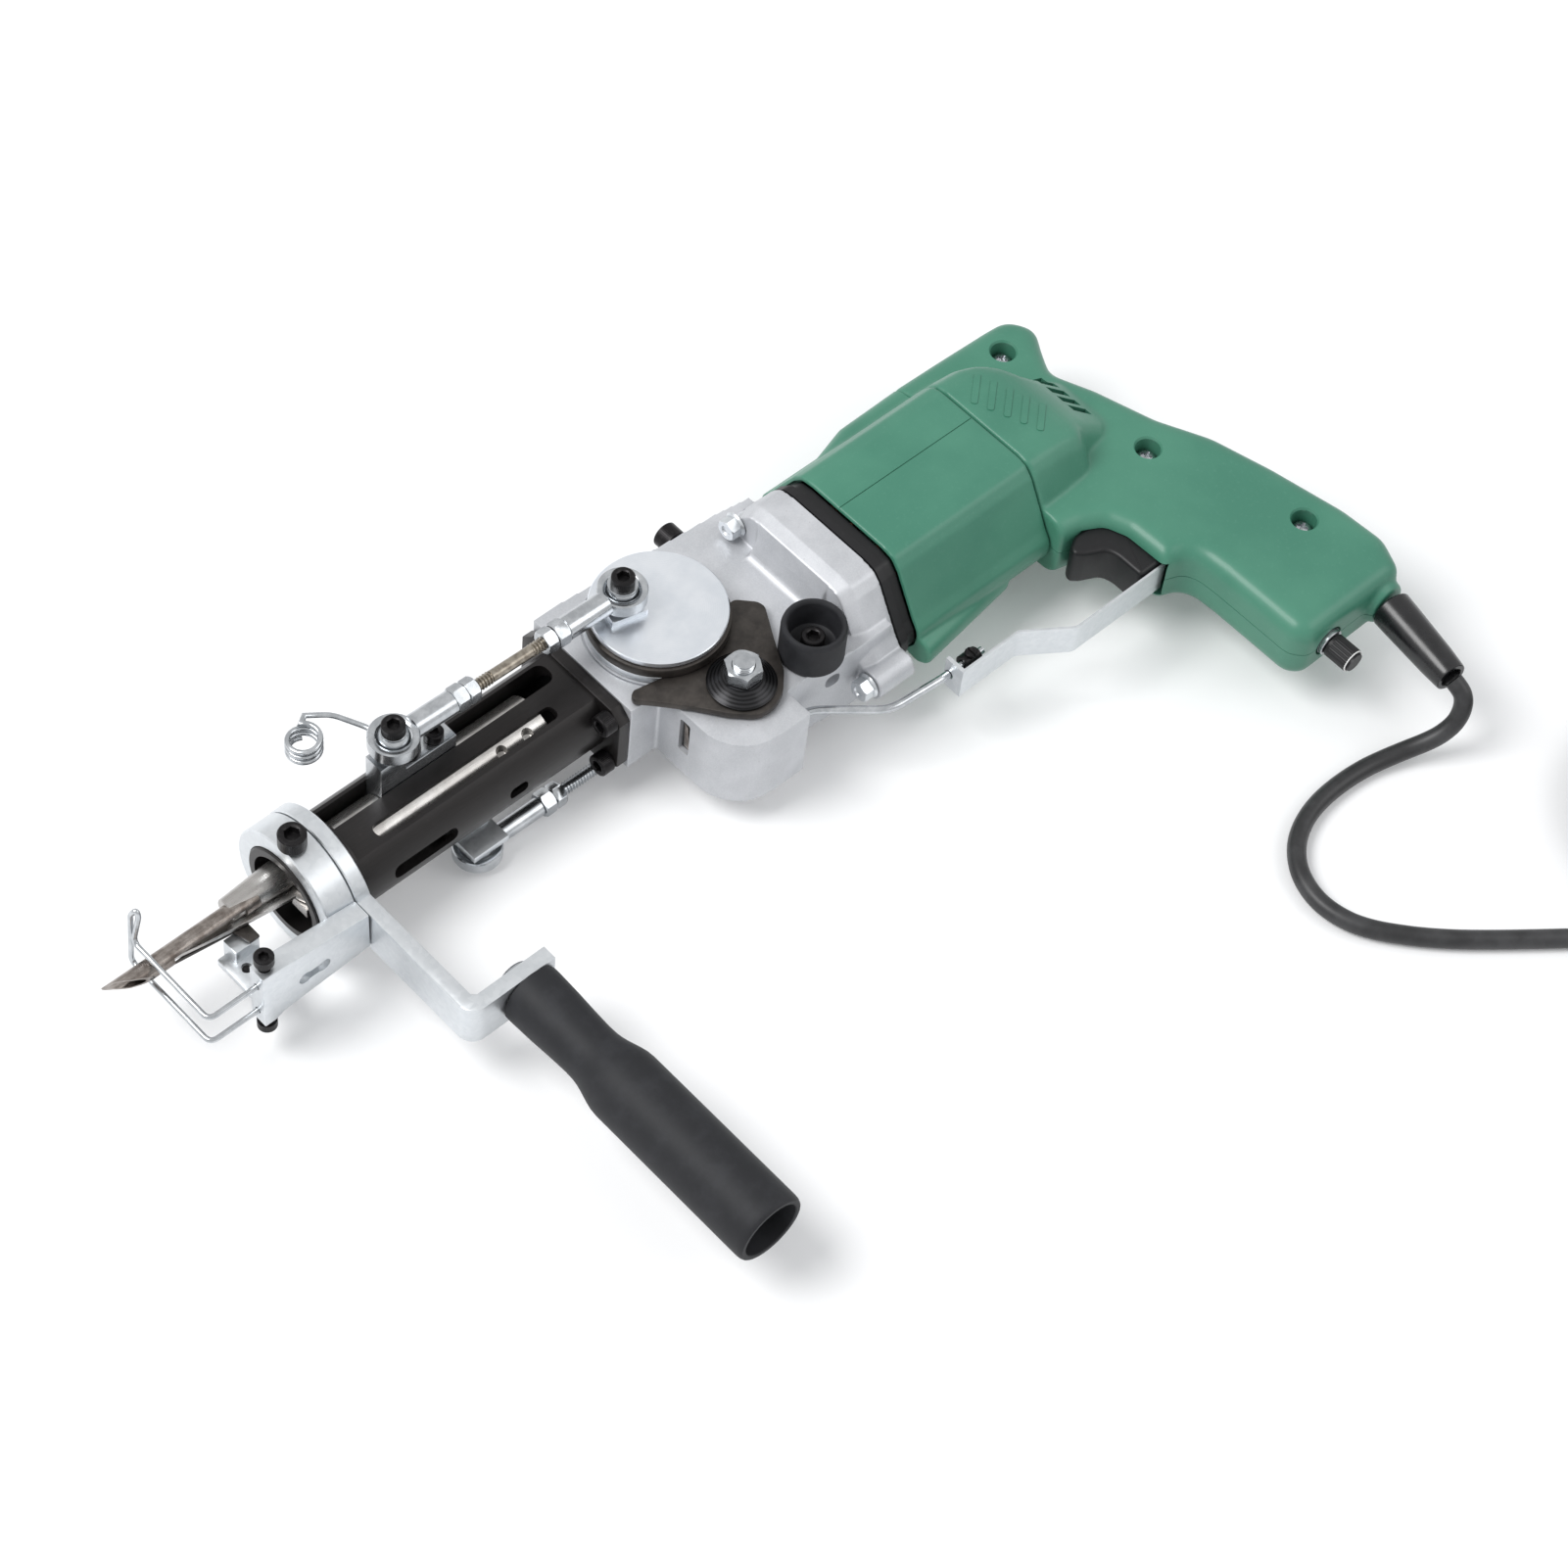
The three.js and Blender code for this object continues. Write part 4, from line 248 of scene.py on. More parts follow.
def bright_zinc():
    finish = Finish("bright_zinc", 0.95)
    haze = finish.noise(5, 4, 0.6)
    fine = finish.noise(0.4, 2)
    base = finish.tint(haze.above(0.3, 0.75), (0.42, 0.44, 0.46), (0.58, 0.6, 0.62))
    finish.set(Base_Color=base, Roughness=0.13 + haze * 0.13 + fine * 0.04,
               Normal=finish.bump(fine, 0.002, 0.4))
    return finish.material


def worn_disc():
    """Plated steel worn bright in rings round the crank axis, with a few rust coloured specks."""
    finish = Finish("worn_disc", 0.9)
    rings = finish.rings((0, 0), 420.0, 2.5, 3.0)
    haze = finish.noise(11, 4, 0.6)
    marks = finish.noise(1.3, 5, 0.7).above(0.68, 0.76)
    base = finish.tint(haze.above(0.25, 0.75), (0.76, 0.8, 0.85), (0.86, 0.89, 0.93))
    base = finish.tint(rings * 0.06, base, (0.5, 0.52, 0.55))
    base = finish.tint(marks * 0.45, base, (0.45, 0.4, 0.34))
    finish.set(Base_Color=base, Roughness=0.26 + haze * 0.1 + marks * 0.2,
               Normal=finish.bump(rings, 0.004, 0.35))
    return finish.material


def oiled_steel():
    finish = Finish("oiled_steel", 0.7)
    clouds = finish.noise(7, 5, 0.65)
    rust = finish.noise(1.6, 5, 0.7).above(0.58, 0.75)
    base = finish.tint(clouds.above(0.3, 0.7), (0.038, 0.034, 0.031), (0.07, 0.062, 0.056))
    base = finish.tint(rust * 0.35, base, (0.1, 0.082, 0.068))
    finish.set(Base_Color=base, Roughness=0.32 + clouds * 0.2,
               Normal=finish.bump(finish.noise(0.7, 4), 0.015, 0.5))
    return finish.material


def turned_black():
    """Blackened steel with the fine rings of turning about the rocker shaft."""
    finish = Finish("turned_black", 0.8)
    rings = finish.rings(ROCKER_AXIS, 260.0, 1.2, 2.0)
    base = finish.tint(rings * 0.6, (0.012, 0.012, 0.013), (0.05, 0.05, 0.053))
    finish.set(Base_Color=base, Roughness=0.24 + rings * 0.12, Normal=finish.bump(rings, 0.01, 0.5))
    return finish.material


def ground_steel():
    finish = Finish("ground_steel", 0.95)
    streaks = finish.noise(0.6, 3, 0.6, (0.12, 1, 1))
    warm = finish.noise(11, 4, 0.6)
    base = finish.tint(warm.above(0.35, 0.75), (0.42, 0.405, 0.39), (0.6, 0.59, 0.575))
    base = finish.tint(streaks.above(0.5, 0.8) * 0.2, base, (0.27, 0.255, 0.24))
    finish.set(Base_Color=base, Roughness=0.22 + streaks * 0.12, Normal=finish.bump(streaks, 0.003, 0.5))
    return finish.material


def browned_steel():
    """Polished steel that heat and thread have tinted brown, with darker streaks along it."""
    finish = Finish("browned_steel", 0.9)
    streaks = finish.noise(0.5, 3, 0.6, (0.1, 1, 1))
    clouds = finish.noise(6, 5, 0.65)
    base = finish.tint(clouds.above(0.3, 0.7), (0.15, 0.125, 0.11), (0.36, 0.325, 0.3))
    base = finish.tint(streaks.above(0.45, 0.75) * 0.4, base, (0.07, 0.058, 0.05))
    specks = finish.noise(0.7, 5, 0.7).above(0.64, 0.72)
    base = finish.tint(specks * 0.7, base, (0.03, 0.024, 0.02))
    finish.set(Base_Color=base, Roughness=0.18 + clouds * 0.14, Normal=finish.bump(streaks, 0.003, 0.5))
    return finish.material


def black_anodised():
    finish = Finish("black_anodised", 0.5)
    drawn = finish.noise(0.5, 3, 0.6, (0.08, 1, 1))
    wear = finish.noise(5, 6, 0.72).above(0.6, 0.78)
    base = finish.tint(drawn * 0.6, (0.014, 0.0125, 0.0125), (0.03, 0.027, 0.0265))
    base = finish.tint(wear * 0.2, base, (0.07, 0.064, 0.06))
    finish.set(Base_Color=base, Roughness=0.3 + drawn * 0.12 + wear * 0.08,
               Normal=finish.bump(drawn, 0.003, 0.5))
    return finish.material


def wound_copper():
    finish = Finish("wound_copper", 0.8)
    wraps = finish.node("TexWave", {"bands_direction": "X"}, {"Vector": finish.place, "Scale": 300.0}, "Fac")
    base = finish.tint(wraps, (0.12, 0.055, 0.025), (0.42, 0.2, 0.1))
    finish.set(Base_Color=base, Roughness=0.3 + wraps * 0.15, Normal=finish.bump(wraps, 0.2, 0.6))
    return finish.material


def white_mark():
    finish = Finish("white_mark")
    wear = finish.noise(0.9, 4)
    finish.set(Base_Color=finish.tint(wear.above(0.5, 0.8) * 0.4, (0.8, 0.8, 0.78), (0.4, 0.4, 0.4)),
               Roughness=0.4 + wear * 0.15)
    return finish.material


GREEN = moulded_green()
BLACK = plain_finish("moulded_black", (2.5, 5, 0.65), 0.5, 0.8, 0.4,
                     ((0.005, 0.005, 0.006), (0.016, 0.016, 0.018)), (0.36, 0.16), (0.6, 3, 0.015, 0.5),
                     Specular_IOR_Level=0.4)
RUBBER = plain_finish("soft_rubber", (9, 4, 0.6), 0.4, 0.75, 0.6,
                      ((0.016, 0.0165, 0.019), (0.032, 0.033, 0.037)), (0.5, 0.18), (0.7, 3, 0.02, 0.5),
                      Specular_IOR_Level=0.28)
CASTING = blasted_aluminium()
ZINC = zinc_coat()
BRIGHT = bright_zinc()
GLOSSY = plain_finish("glossy_rubber", (6, 4, 0.6), 0.4, 0.8, 0.5,
                      ((0.006, 0.006, 0.007), (0.018, 0.018, 0.02)), (0.2, 0.14), (2.5, 2, 0.03, 0.4),
                      Specular_IOR_Level=0.55)
DISC = worn_disc()
OILED = oiled_steel()
TURNED = turned_black()
GROUND = ground_steel()
BROWNED = browned_steel()
ANODISED = black_anodised()
OXIDE = plain_finish("black_oxide", (1.3, 5, 0.65), 0.5, 0.75, 0.6,
                     ((0.014, 0.013, 0.014), (0.055, 0.052, 0.05)), (0.28, 0.16), (0.5, 3, 0.006, 0.5),
                     metallic=0.7)
YELLOW = plain_finish("yellow_zinc", (2.4, 4), 0.3, 0.7, 1, ((0.2, 0.175, 0.145), (0.38, 0.345, 0.29)),
                      (0.24, 0.14), (2.4, 4, 0.01, 0.4), metallic=0.9)
COPPER = wound_copper()
JACKET = plain_finish("cord_jacket", (12, 4), 0.35, 0.7, 1, ((0.02, 0.02, 0.021), (0.045, 0.045, 0.047)),
                      (0.34, 0.16), (0.8, 3, 0.04, 0.4), Specular_IOR_Level=0.45)
MARK = white_mark()


# Shapes, in millimetres.

def linked(mesh_maker):
    mesh = bpy.data.meshes.new("shape")
    mesh_maker.to_mesh(mesh)
    mesh_maker.free()
    obj = bpy.data.objects.new("shape", mesh)
    bpy.context.scene.collection.objects.link(obj)
    return obj


def applied(obj):
    graph = bpy.context.evaluated_depsgraph_get()
    mesh = bpy.data.meshes.new_from_object(obj.evaluated_get(graph))
    obj.modifiers.clear()
    obj.data = mesh
    return obj


def dropped(*objs):
    for obj in objs:
        bpy.data.objects.remove(obj)


def combined(obj, tools, operation):
    for tool in tools:
        step = obj.modifiers.new("step", "BOOLEAN")
        step.operation = operation
        step.solver = "EXACT"
        step.object = tool
    applied(obj)
    dropped(*tools)
    return obj


def cut(obj, *tools):
    return combined(obj, tools, "DIFFERENCE")


def joined(obj, *others):
    return combined(obj, others, "UNION")


def together(obj, *others):
    """One object of several shapes that may touch, without any cutting."""
    maker = bmesh.new()
    for part in (obj, *others):
        maker.from_mesh(part.data)
    dropped(*others)
    maker.to_mesh(obj.data)
    maker.free()
    return obj


def moved(obj, matrix):
    obj.data.transform(matrix)
    if matrix.determinant() < 0:
        obj.data.flip_normals()
    return obj


def aimed(obj, base, way):
    turn = Vector((0, 0, 1)).rotation_difference(Vector(way).normalized())
    return moved(obj, Matrix.Translation(Vector(base)) @ turn.to_matrix().to_4x4())


def lofted(rings):
    maker = bmesh.new()
    rows = [[maker.verts.new(p) for p in ring] for ring in rings]
    count = len(rows[0])
    for low, high in zip(rows, rows[1:]):
        for at in range(count):
            after = (at + 1) % count
            maker.faces.new((low[at], low[after], high[after], high[at]))
    maker.faces.new(rows[0][::-1])
    maker.faces.new(rows[-1])
    bmesh.ops.recalc_face_normals(maker, faces=maker.faces)
    return linked(maker)


def around(radius, count):
    return [(radius * math.cos(math.tau * k / count),
             radius * math.sin(math.tau * k / count)) for k in range(count)]


def turned(profile, base=(0, 0, 0), way=(0, 0, 1), sides=72):
    """A profile of (radius, along) turned about the line from base along way. It starts and ends on the
    axis, or its last point joins its first."""
    maker = bmesh.new()
    whole = profile[0][0] > 0
    rows = []
    for radius, along in profile:
        if radius <= 0:
            rows.append([maker.verts.new((0, 0, along))] * sides)
            continue
        rows.append([maker.verts.new((*spot, along)) for spot in around(radius, sides)])
    pairs = list(zip(rows, rows[1:])) + ([(rows[-1], rows[0])] if whole else [])
    for low, high in pairs:
        for at in range(sides):
            after = (at + 1) % sides
            corners = dict.fromkeys((low[at], low[after], high[after], high[at]))
            if len(corners) > 2:
                maker.faces.new(tuple(corners))
    bmesh.ops.recalc_face_normals(maker, faces=maker.faces)
    return aimed(linked(maker), base, way)


def bar(start, end, radius, edge=0.0, sides=64, end_radius=None):
    last = radius if end_radius is None else end_radius
    length = (Vector(end) - Vector(start)).length
    profile = [(0, 0), (radius - edge, 0), (radius, edge), (last, length - edge), (last - edge, length),
               (0, length)]
    if not edge:
        profile = [(0, 0), (radius, 0), (last, length), (0, length)]
    return turned(profile, start, Vector(end) - Vector(start), sides)


def lengthwise(axis, start, end, *sizes, **more):
    """A bar along X. The two after it make one along Y and an upright one."""
    return bar((start, *axis), (end, *axis), *sizes, **more)


def sidewise(axis, start, end, *sizes, **more):
    x, z = axis
    return bar((x, start, z), (x, end, z), *sizes, **more)


def upright(axis, low, high, *sizes, **more):
    return bar((*axis, low), (*axis, high), *sizes, **more)


def sleeve(start, end, outer, inner, edge=0.3, sides=72):
    length = (Vector(end) - Vector(start)).length
    profile = [(inner + edge, 0), (outer - edge, 0), (outer, edge), (outer, length - edge),
               (outer - edge, length), (inner + edge, length), (inner, length - edge), (inner, edge)]
    return turned(profile, start, Vector(end) - Vector(start), sides)


TURNS = {"x": Matrix(((0, 0, 1), (1, 0, 0), (0, 1, 0))).to_4x4(),
         "y": Matrix(((1, 0, 0), (0, 0, 1), (0, 1, 0))).to_4x4(),
         "z": Matrix.Identity(4)}


def prism(points, low, high, axis="z", edge=0.0, steps=2):
    """An outline in the plane across axis, drawn out from low to high, with its rims rounded by edge."""
    maker = bmesh.new()
    bottom = [maker.verts.new((*p, low)) for p in points]
    face = maker.faces.new(bottom)
    made = bmesh.ops.extrude_face_region(maker, geom=[face])
    for part in made["geom"]:
        if isinstance(part, bmesh.types.BMVert):
            part.co.z = high
    bmesh.ops.recalc_face_normals(maker, faces=maker.faces)
    if edge:
        rims = [e for e in maker.edges if abs(e.verts[0].co.z - e.verts[1].co.z) < 1e-6]
        bmesh.ops.bevel(maker, geom=rims, offset=edge, offset_type="OFFSET", segments=steps, profile=0.5,
                        affect="EDGES", clamp_overlap=False)
    maker.transform(TURNS[axis])
    maker.normal_update()
    bmesh.ops.recalc_face_normals(maker, faces=maker.faces)
    return linked(maker)


def block(x0, x1, y0, y1, z0, z1, edge=0.0, corner=0.0, axis="z"):
    spans = {"z": (x0, x1, y0, y1, z0, z1), "y": (x0, x1, z0, z1, y0, y1), "x": (y0, y1, z0, z1, x0, x1)}
    a0, a1, b0, b1, low, high = spans[axis]
    points = [(a0, b0), (a1, b0), (a1, b1), (a0, b1)]
    if corner:
        points = softened(points, corner)
    return prism(points, low, high, axis, edge)


def softened(points, radius, steps=6):
    """The outline with each corner rounded, where its sides leave room."""
    radii = radius if isinstance(radius, (list, tuple)) else [radius] * len(points)
    out = []
    for at, here in enumerate(points):
        here = Vector(here)
        before, after = Vector(points[at - 1]) - here, Vector(points[(at + 1) % len(points)]) - here
        angle = before.angle(after)
        reach = min(radii[at] / math.tan(angle / 2), before.length * 0.48, after.length * 0.48)
        if radii[at] <= 0 or angle > math.radians(176):
            out.append(tuple(here))
            continue
        start, end = here + before.normalized() * reach, here + after.normalized() * reach
        for k in range(steps + 1):
            t = k / steps
            out.append(tuple(start * (1 - t) ** 2 + here * 2 * t * (1 - t) + end * t ** 2))
    return out


def arc(x, y, radius, first, last, steps):
    angles = [math.radians(first + (last - first) * k / steps) for k in range(steps + 1)]
    return [(x + radius * math.cos(a), y + radius * math.sin(a)) for a in angles]


def bent(points, radius, steps=6):
    """A line in space with its corners rounded."""
    out = [Vector(points[0])]
    for at in range(1, len(points) - 1):
        here = Vector(points[at])
        before, after = Vector(points[at - 1]) - here, Vector(points[at + 1]) - here
        reach = min(radius, before.length * 0.45, after.length * 0.45)
        start, end = here + before.normalized() * reach, here + after.normalized() * reach
        for k in range(steps + 1):
            t = k / steps
            out.append(start * (1 - t) ** 2 + here * 2 * t * (1 - t) + end * t ** 2)
    return out + [Vector(points[-1])]


def wire(points, radius, sides=20):
    """A round wire along a line, its ring carried along without twist."""
    points = [Vector(p) for p in points]
    ways = [(b - a).normalized() for a, b in zip(points, points[1:])]
    side = ways[0].orthogonal().normalized()
    rings = []
    for at, point in enumerate(points):
        before, after = ways[max(at - 1, 0)], ways[min(at, len(ways) - 1)]
        if at:
            side = (ways[max(at - 2, 0)].rotation_difference(before) @ side).normalized() if at > 1 else side
        across = (before + after).normalized()
        other = before.cross(side)
        ring = []
        for k in range(sides):
            angle = math.tau * k / sides
            spoke = side * math.cos(angle) * radius + other * math.sin(angle) * radius
            ring.append(point + spoke - before * (spoke.dot(across) / before.dot(across)))
        rings.append(ring)
    return lofted(rings)


# Rows of equal shapes.

def row_tree():
    """Copies its shape Count times, each one moved by Step and turned by Turn from the one before."""
    tree = bpy.data.node_groups.new("row_of_shapes", "GeometryNodeTree")
    names = {"Geometry": "Geometry", "Count": "Int", "Step": "Vector", "Turn": "Vector", "Finish": "Material"}
    keys = {}
    for name, kind in names.items():
        socket = tree.interface.new_socket(name, in_out="INPUT", socket_type="NodeSocket" + kind)
        keys[name] = socket.identifier
    tree.interface.new_socket("Geometry", in_out="OUTPUT", socket_type="NodeSocketGeometry")
    add, link = tree.nodes.new, tree.links.new
    given, result = add("NodeGroupInput"), add("NodeGroupOutput")
    line, copies, whole, paint = (add("GeometryNode" + kind) for kind in
                                  ("MeshLine", "InstanceOnPoints", "RealizeInstances", "SetMaterial"))
    index, turn = add("GeometryNodeInputIndex"), add("ShaderNodeVectorMath")
    turn.operation = "SCALE"
    link(given.outputs["Count"], line.inputs["Count"])
    link(given.outputs["Step"], line.inputs["Offset"])
    link(line.outputs[0], copies.inputs["Points"])
    link(given.outputs["Geometry"], copies.inputs["Instance"])
    link(given.outputs["Turn"], turn.inputs[0])
    link(index.outputs[0], turn.inputs["Scale"])
    link(turn.outputs[0], copies.inputs["Rotation"])
    link(copies.outputs[0], whole.inputs[0])
    link(whole.outputs[0], paint.inputs["Geometry"])
    link(given.outputs["Finish"], paint.inputs["Material"])
    link(paint.outputs[0], result.inputs[0])
    return tree, keys


ROW_TREE, ROW_KEYS = row_tree()


def repeated(obj, count, step=(0, 0, 0), turn=(0, 0, 0), finish=None):
    row = obj.modifiers.new("row", "NODES")
    row.node_group = ROW_TREE
    row[ROW_KEYS["Count"]] = count
    row[ROW_KEYS["Step"]] = step
    row[ROW_KEYS["Turn"]] = turn
    if finish:
        row[ROW_KEYS["Finish"]] = finish
    return applied(obj)


def thread(start, end, radius, pitch=0.8, finish=None):
    """A threaded rod: a core, and a row of ridges along it."""
    length = (Vector(end) - Vector(start)).length
    deep = pitch * 0.5
    ridge = turned([(radius - deep, -pitch * 0.36), (radius, -0.08), (radius, 0.08),
                    (radius - deep, pitch * 0.36), (radius - deep * 1.6, 0)], (0, 0, pitch / 2), sides=40)
    ridges = repeated(ridge, int(length / pitch), (0, 0, pitch), finish=finish)
    core = upright((0, 0), 0, length, radius - deep, sides=40)
    return aimed(together(core, ridges), start, Vector(end) - Vector(start))


# Handing a shape over as a piece.

def give(obj, name, body, finish, *nodes, angle=32):
    """Puts a shape into the row frame and makes it the piece that stands for those nodes."""
    moved(obj, Matrix.Scale(METRE, 4) @ Matrix.Translation(-ROW))
    obj.data.shade_smooth()
    obj.data.set_sharp_from_angle(angle=math.radians(angle))
    obj.name = name
    obj.data.name = name
    obj.data.materials.clear()
    obj.data.materials.append(finish)
    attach(obj, body)
    if nodes:
        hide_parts(*nodes)


SMALL = {"shank": 2.0, "head": 3.5, "height": 4.0, "socket": 1.7}
MEDIUM = {"shank": 2.5, "head": 4.25, "height": 5.0, "socket": 2.2}
LARGE = {"shank": 3.0, "head": 5.0, "height": 6.0, "socket": 2.7}
KNURLS = 44


def socket_screw(seat, way, length, size):
    head, height, shank = size["head"], size["height"], size["shank"]
    profile = [(0, -length), (shank - 0.4, -length), (shank, -length + 0.4), (shank, 0), (head - 0.15, 0),
               (head, 0.15), (head, height - 0.5), (head - 0.35, height - 0.1), (head - 0.8, height),
               (0, height)]
    body = turned(profile, sides=56)
    deep = height * 0.55
    flare = upright((0, 0), height - 0.35, height + 0.5, size["socket"], sides=40,
                end_radius=size["socket"] * 1.55)
    cut(body, prism(around(size["socket"] * 1.1, 6), height - deep, height + 1), flare)
    groove = prism([(head + 0.2, -0.12), (head + 0.2, 0.12), (head - 0.12, 0)], 0.7, height - 0.9)
    knurl = repeated(groove, KNURLS, turn=(0, 0, math.tau / KNURLS))
    return aimed(cut(body, knurl), seat, way)


def hex_nut(start, end, across, hole):
    length = (Vector(end) - Vector(start)).length
    corner = across / math.cos(math.pi / 6)
    body = prism(around(corner, 6), 0, length)
    dome = turned([(0, -1), (across, -1), (across * 1.02, 0), (corner * 1.02, length * 0.14),
                   (corner * 1.02, length * 0.86), (across * 1.02, length), (across, length + 1),
                   (0, length + 1)],
                  sides=60)
    combined(body, [dome], "INTERSECT")
    if hole:
        cut(body, upright((0, 0), -1, length + 1, hole, sides=40))
    return aimed(body, start, Vector(end) - Vector(start))


def voxelled(obj, size, rounds, keep):
    """Overlapping shapes become one skin with soft edges, as a moulding or a casting has."""
    step = obj.modifiers.new("skin", "REMESH")
    step.mode, step.voxel_size = "VOXEL", size
    step = obj.modifiers.new("ease", "SMOOTH")
    step.factor, step.iterations = 0.5, rounds
    step = obj.modifiers.new("thin", "DECIMATE")
    step.ratio = keep
    return applied(obj)


# Supply cord, its coil, tie and plug.

CORD_RADIUS = 3.5
CORD_Z = -54.0
ROUTE = [(211.2, -191.7, -26), (211.2, -196.6, -28.6), (210.4, -198.9, -33), (207.6, -199.6, -39.5),
         (202, -197.5, -45.8), (193, -192.6, -50.9), (178.5, -187.6, -53.6), (162, -186, -54),
         (147, -187.6, -54), (134.5, -193, -54), (125.5, -202.5, -54), (121.5, -215.5, -54),
         (124, -229.5, -54), (133, -243, -54), (148, -258.5, -54), (176.8, -282.2, -54), (200, -301.1, -54),
         (223.97, -319.62, -54)]
COIL = {"start": (224.22, -319.8), "heading": -0.6581, "lead": 7.0, "turns": 6, "radius": 51.0, "pitch": 7.8,
        "rise": 7.8, "climb": 0.5, "tail": 46.0}


def eased_line(points, steps):
    """A smooth curve through the points, each stretch paced by the root of its chord."""
    points = [Vector(p) for p in points]
    padded = [points[0] * 2 - points[1], *points, points[-1] * 2 - points[-2]]
    out = []
    for at in range(1, len(padded) - 2):
        four = padded[at - 1:at + 3]
        gaps = [max((b - a).length ** 0.5, 1e-4) for a, b in zip(four, four[1:])]
        marks = [0, gaps[0], gaps[0] + gaps[1], sum(gaps)]
        for k in range(steps):
            t = marks[1] + (marks[2] - marks[1]) * k / steps
            level = list(four)
            for depth in (1, 2, 3):
                level = [level[i] * ((marks[i + depth] - t) / (marks[i + depth] - marks[i]))
                         + level[i + 1] * ((t - marks[i]) / (marks[i + depth] - marks[i]))
                         for i in range(4 - depth)]
            out.append(level[0])
    return out + [points[-1]]


def coil_line(count):
    ahead = Vector((math.cos(COIL["heading"]), math.sin(COIL["heading"]), 0))
    left = Vector((-ahead.y, ahead.x, 0))
    start = Vector((*COIL["start"], CORD_Z))
    turns, radius, pitch = COIL["turns"], COIL["radius"], COIL["pitch"]
    first = start + ahead * COIL["lead"]
    out = [start, start + ahead * COIL["lead"] / 2]
    middle = turns / 2
    for k in range(count + 1):
        turn = turns * k / count
        reach = radius - pitch * (middle - abs(middle - turn))
        climb = min(max((turn - middle) / COIL["climb"] + 0.5, 0), 1)
        angle = turn * math.tau
        spot = first + left * (radius - reach * math.cos(angle)) + ahead * reach * math.sin(angle)
        out.append(spot + Vector((0, 0, COIL["rise"] * climb)))
    end = out[-1]
    out += [end + ahead * COIL["tail"] * k / 6 for k in range(1, 7)]
    return out, first + left * radius, ahead, left


def plug_piece(start, ahead, left):
    outline = [(0, 6.5), (4, 8), (12, 12), (33, 12), (35.8, 10), (35.8, -10), (33, -12), (12, -12), (4, -8),
               (0, -6.5)]
    body = prism(softened(outline, 3), -10.5, 10.5, edge=3, steps=4)
    ridge = block(16, 17.2, -13, 13, -11, 11)
    body = cut(body, repeated(cut(ridge, block(15, 18, -11.4, 11.4, -9.9, 9.9)), 5, (2.6, 0, 0)))
    pins = [lengthwise((y, 0), 34, 54.8, 2.2, 0.7, 24) for y in (-9.5, 9.5)]
    frame_turn = Matrix((ahead, left, Vector((0, 0, 1)))).transposed().to_4x4()
    return [moved(part, Matrix.Translation(start) @ frame_turn) for part in (body, together(*pins))]


def cord_pieces():
    coil, middle, ahead, left = coil_line(330)
    line = [to_row(p) for p in eased_line(ROUTE, 10) + coil[1:]]
    data = bpy.data.curves.new("supply_cord", "CURVE")
    data.dimensions = "3D"
    data.bevel_depth = CORD_RADIUS * METRE
    data.bevel_resolution = 5
    data.use_fill_caps = True
    run = data.splines.new("POLY")
    run.points.add(len(line) - 1)
    for point, place in zip(run.points, line):
        point.co = (*place, 1)
    cord = bpy.data.objects.new("supply_cord", data)
    bpy.context.scene.collection.objects.link(cord)
    data.materials.append(JACKET)
    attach(cord, "frame")
    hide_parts("cord", "cord_coil")
    end = coil[-1] + ahead * FIT
    body, pins = plug_piece(end, ahead, left)
    give(body, "cord_plug", "frame", RUBBER, "plug")
    give(pins, "plug_pins", "frame", BRIGHT)
    inner, outer = COIL["radius"] - COIL["pitch"] * 3 - 4.6, COIL["radius"] + 4.6
    low, high = CORD_Z - CORD_RADIUS, CORD_Z + COIL["rise"] + CORD_RADIUS + 1.0
    loop = [(outer, low + 0.5), (outer, high), (inner, high), (inner, low + 0.5)]
    band = prism(softened(loop, 2.5), -2.4, 2.4)
    cut(band, prism(softened([(x + (0.9 if x < outer else -0.9), z + (0.4 if z < high else -0.9))
                              for x, z in loop], 2), -3, 3))
    standing = Matrix((left, Vector((0, 0, 1)), ahead)).transposed().to_4x4()
    moved(band, Matrix.Translation(middle - Vector((0, 0, middle.z))) @ standing)
    give(band, "coil_tie", "frame", BLACK)


cord_pieces()


# Gearbox casting and what is on it.

# The corners of a quarter of the motor's section, as shares of its half width and half height.
SECTION = [(0.44, 1), (0.57, 0.97), (0.66, 0.84), (0.91, 0.26), (0.98, 0.13), (1, 0)]


def motor_section(inset=0.0, scale=1.0, radius=4.0):
    """The motor's cross section as (y, z) points: flats above and below, slanted shoulders."""
    wide, tall = MOTOR_WIDE * scale - inset, MOTOR_TALL * scale - inset
    quarter = [(y * wide, z * tall) for y, z in SECTION]
    right = quarter + [(y, -z) for y, z in quarter[-2::-1]]
    whole = right + [(-y, z) for y, z in reversed(right)]
    whole = [(y + MOTOR_Y, z + AXIS_Z) for y, z in whole]
    return softened(whole, radius, 4)


def section_ring(x, inset=0.0, scale=1.0, radius=4.0):
    return [Vector((x, y, z)) for y, z in motor_section(inset, scale, radius)]


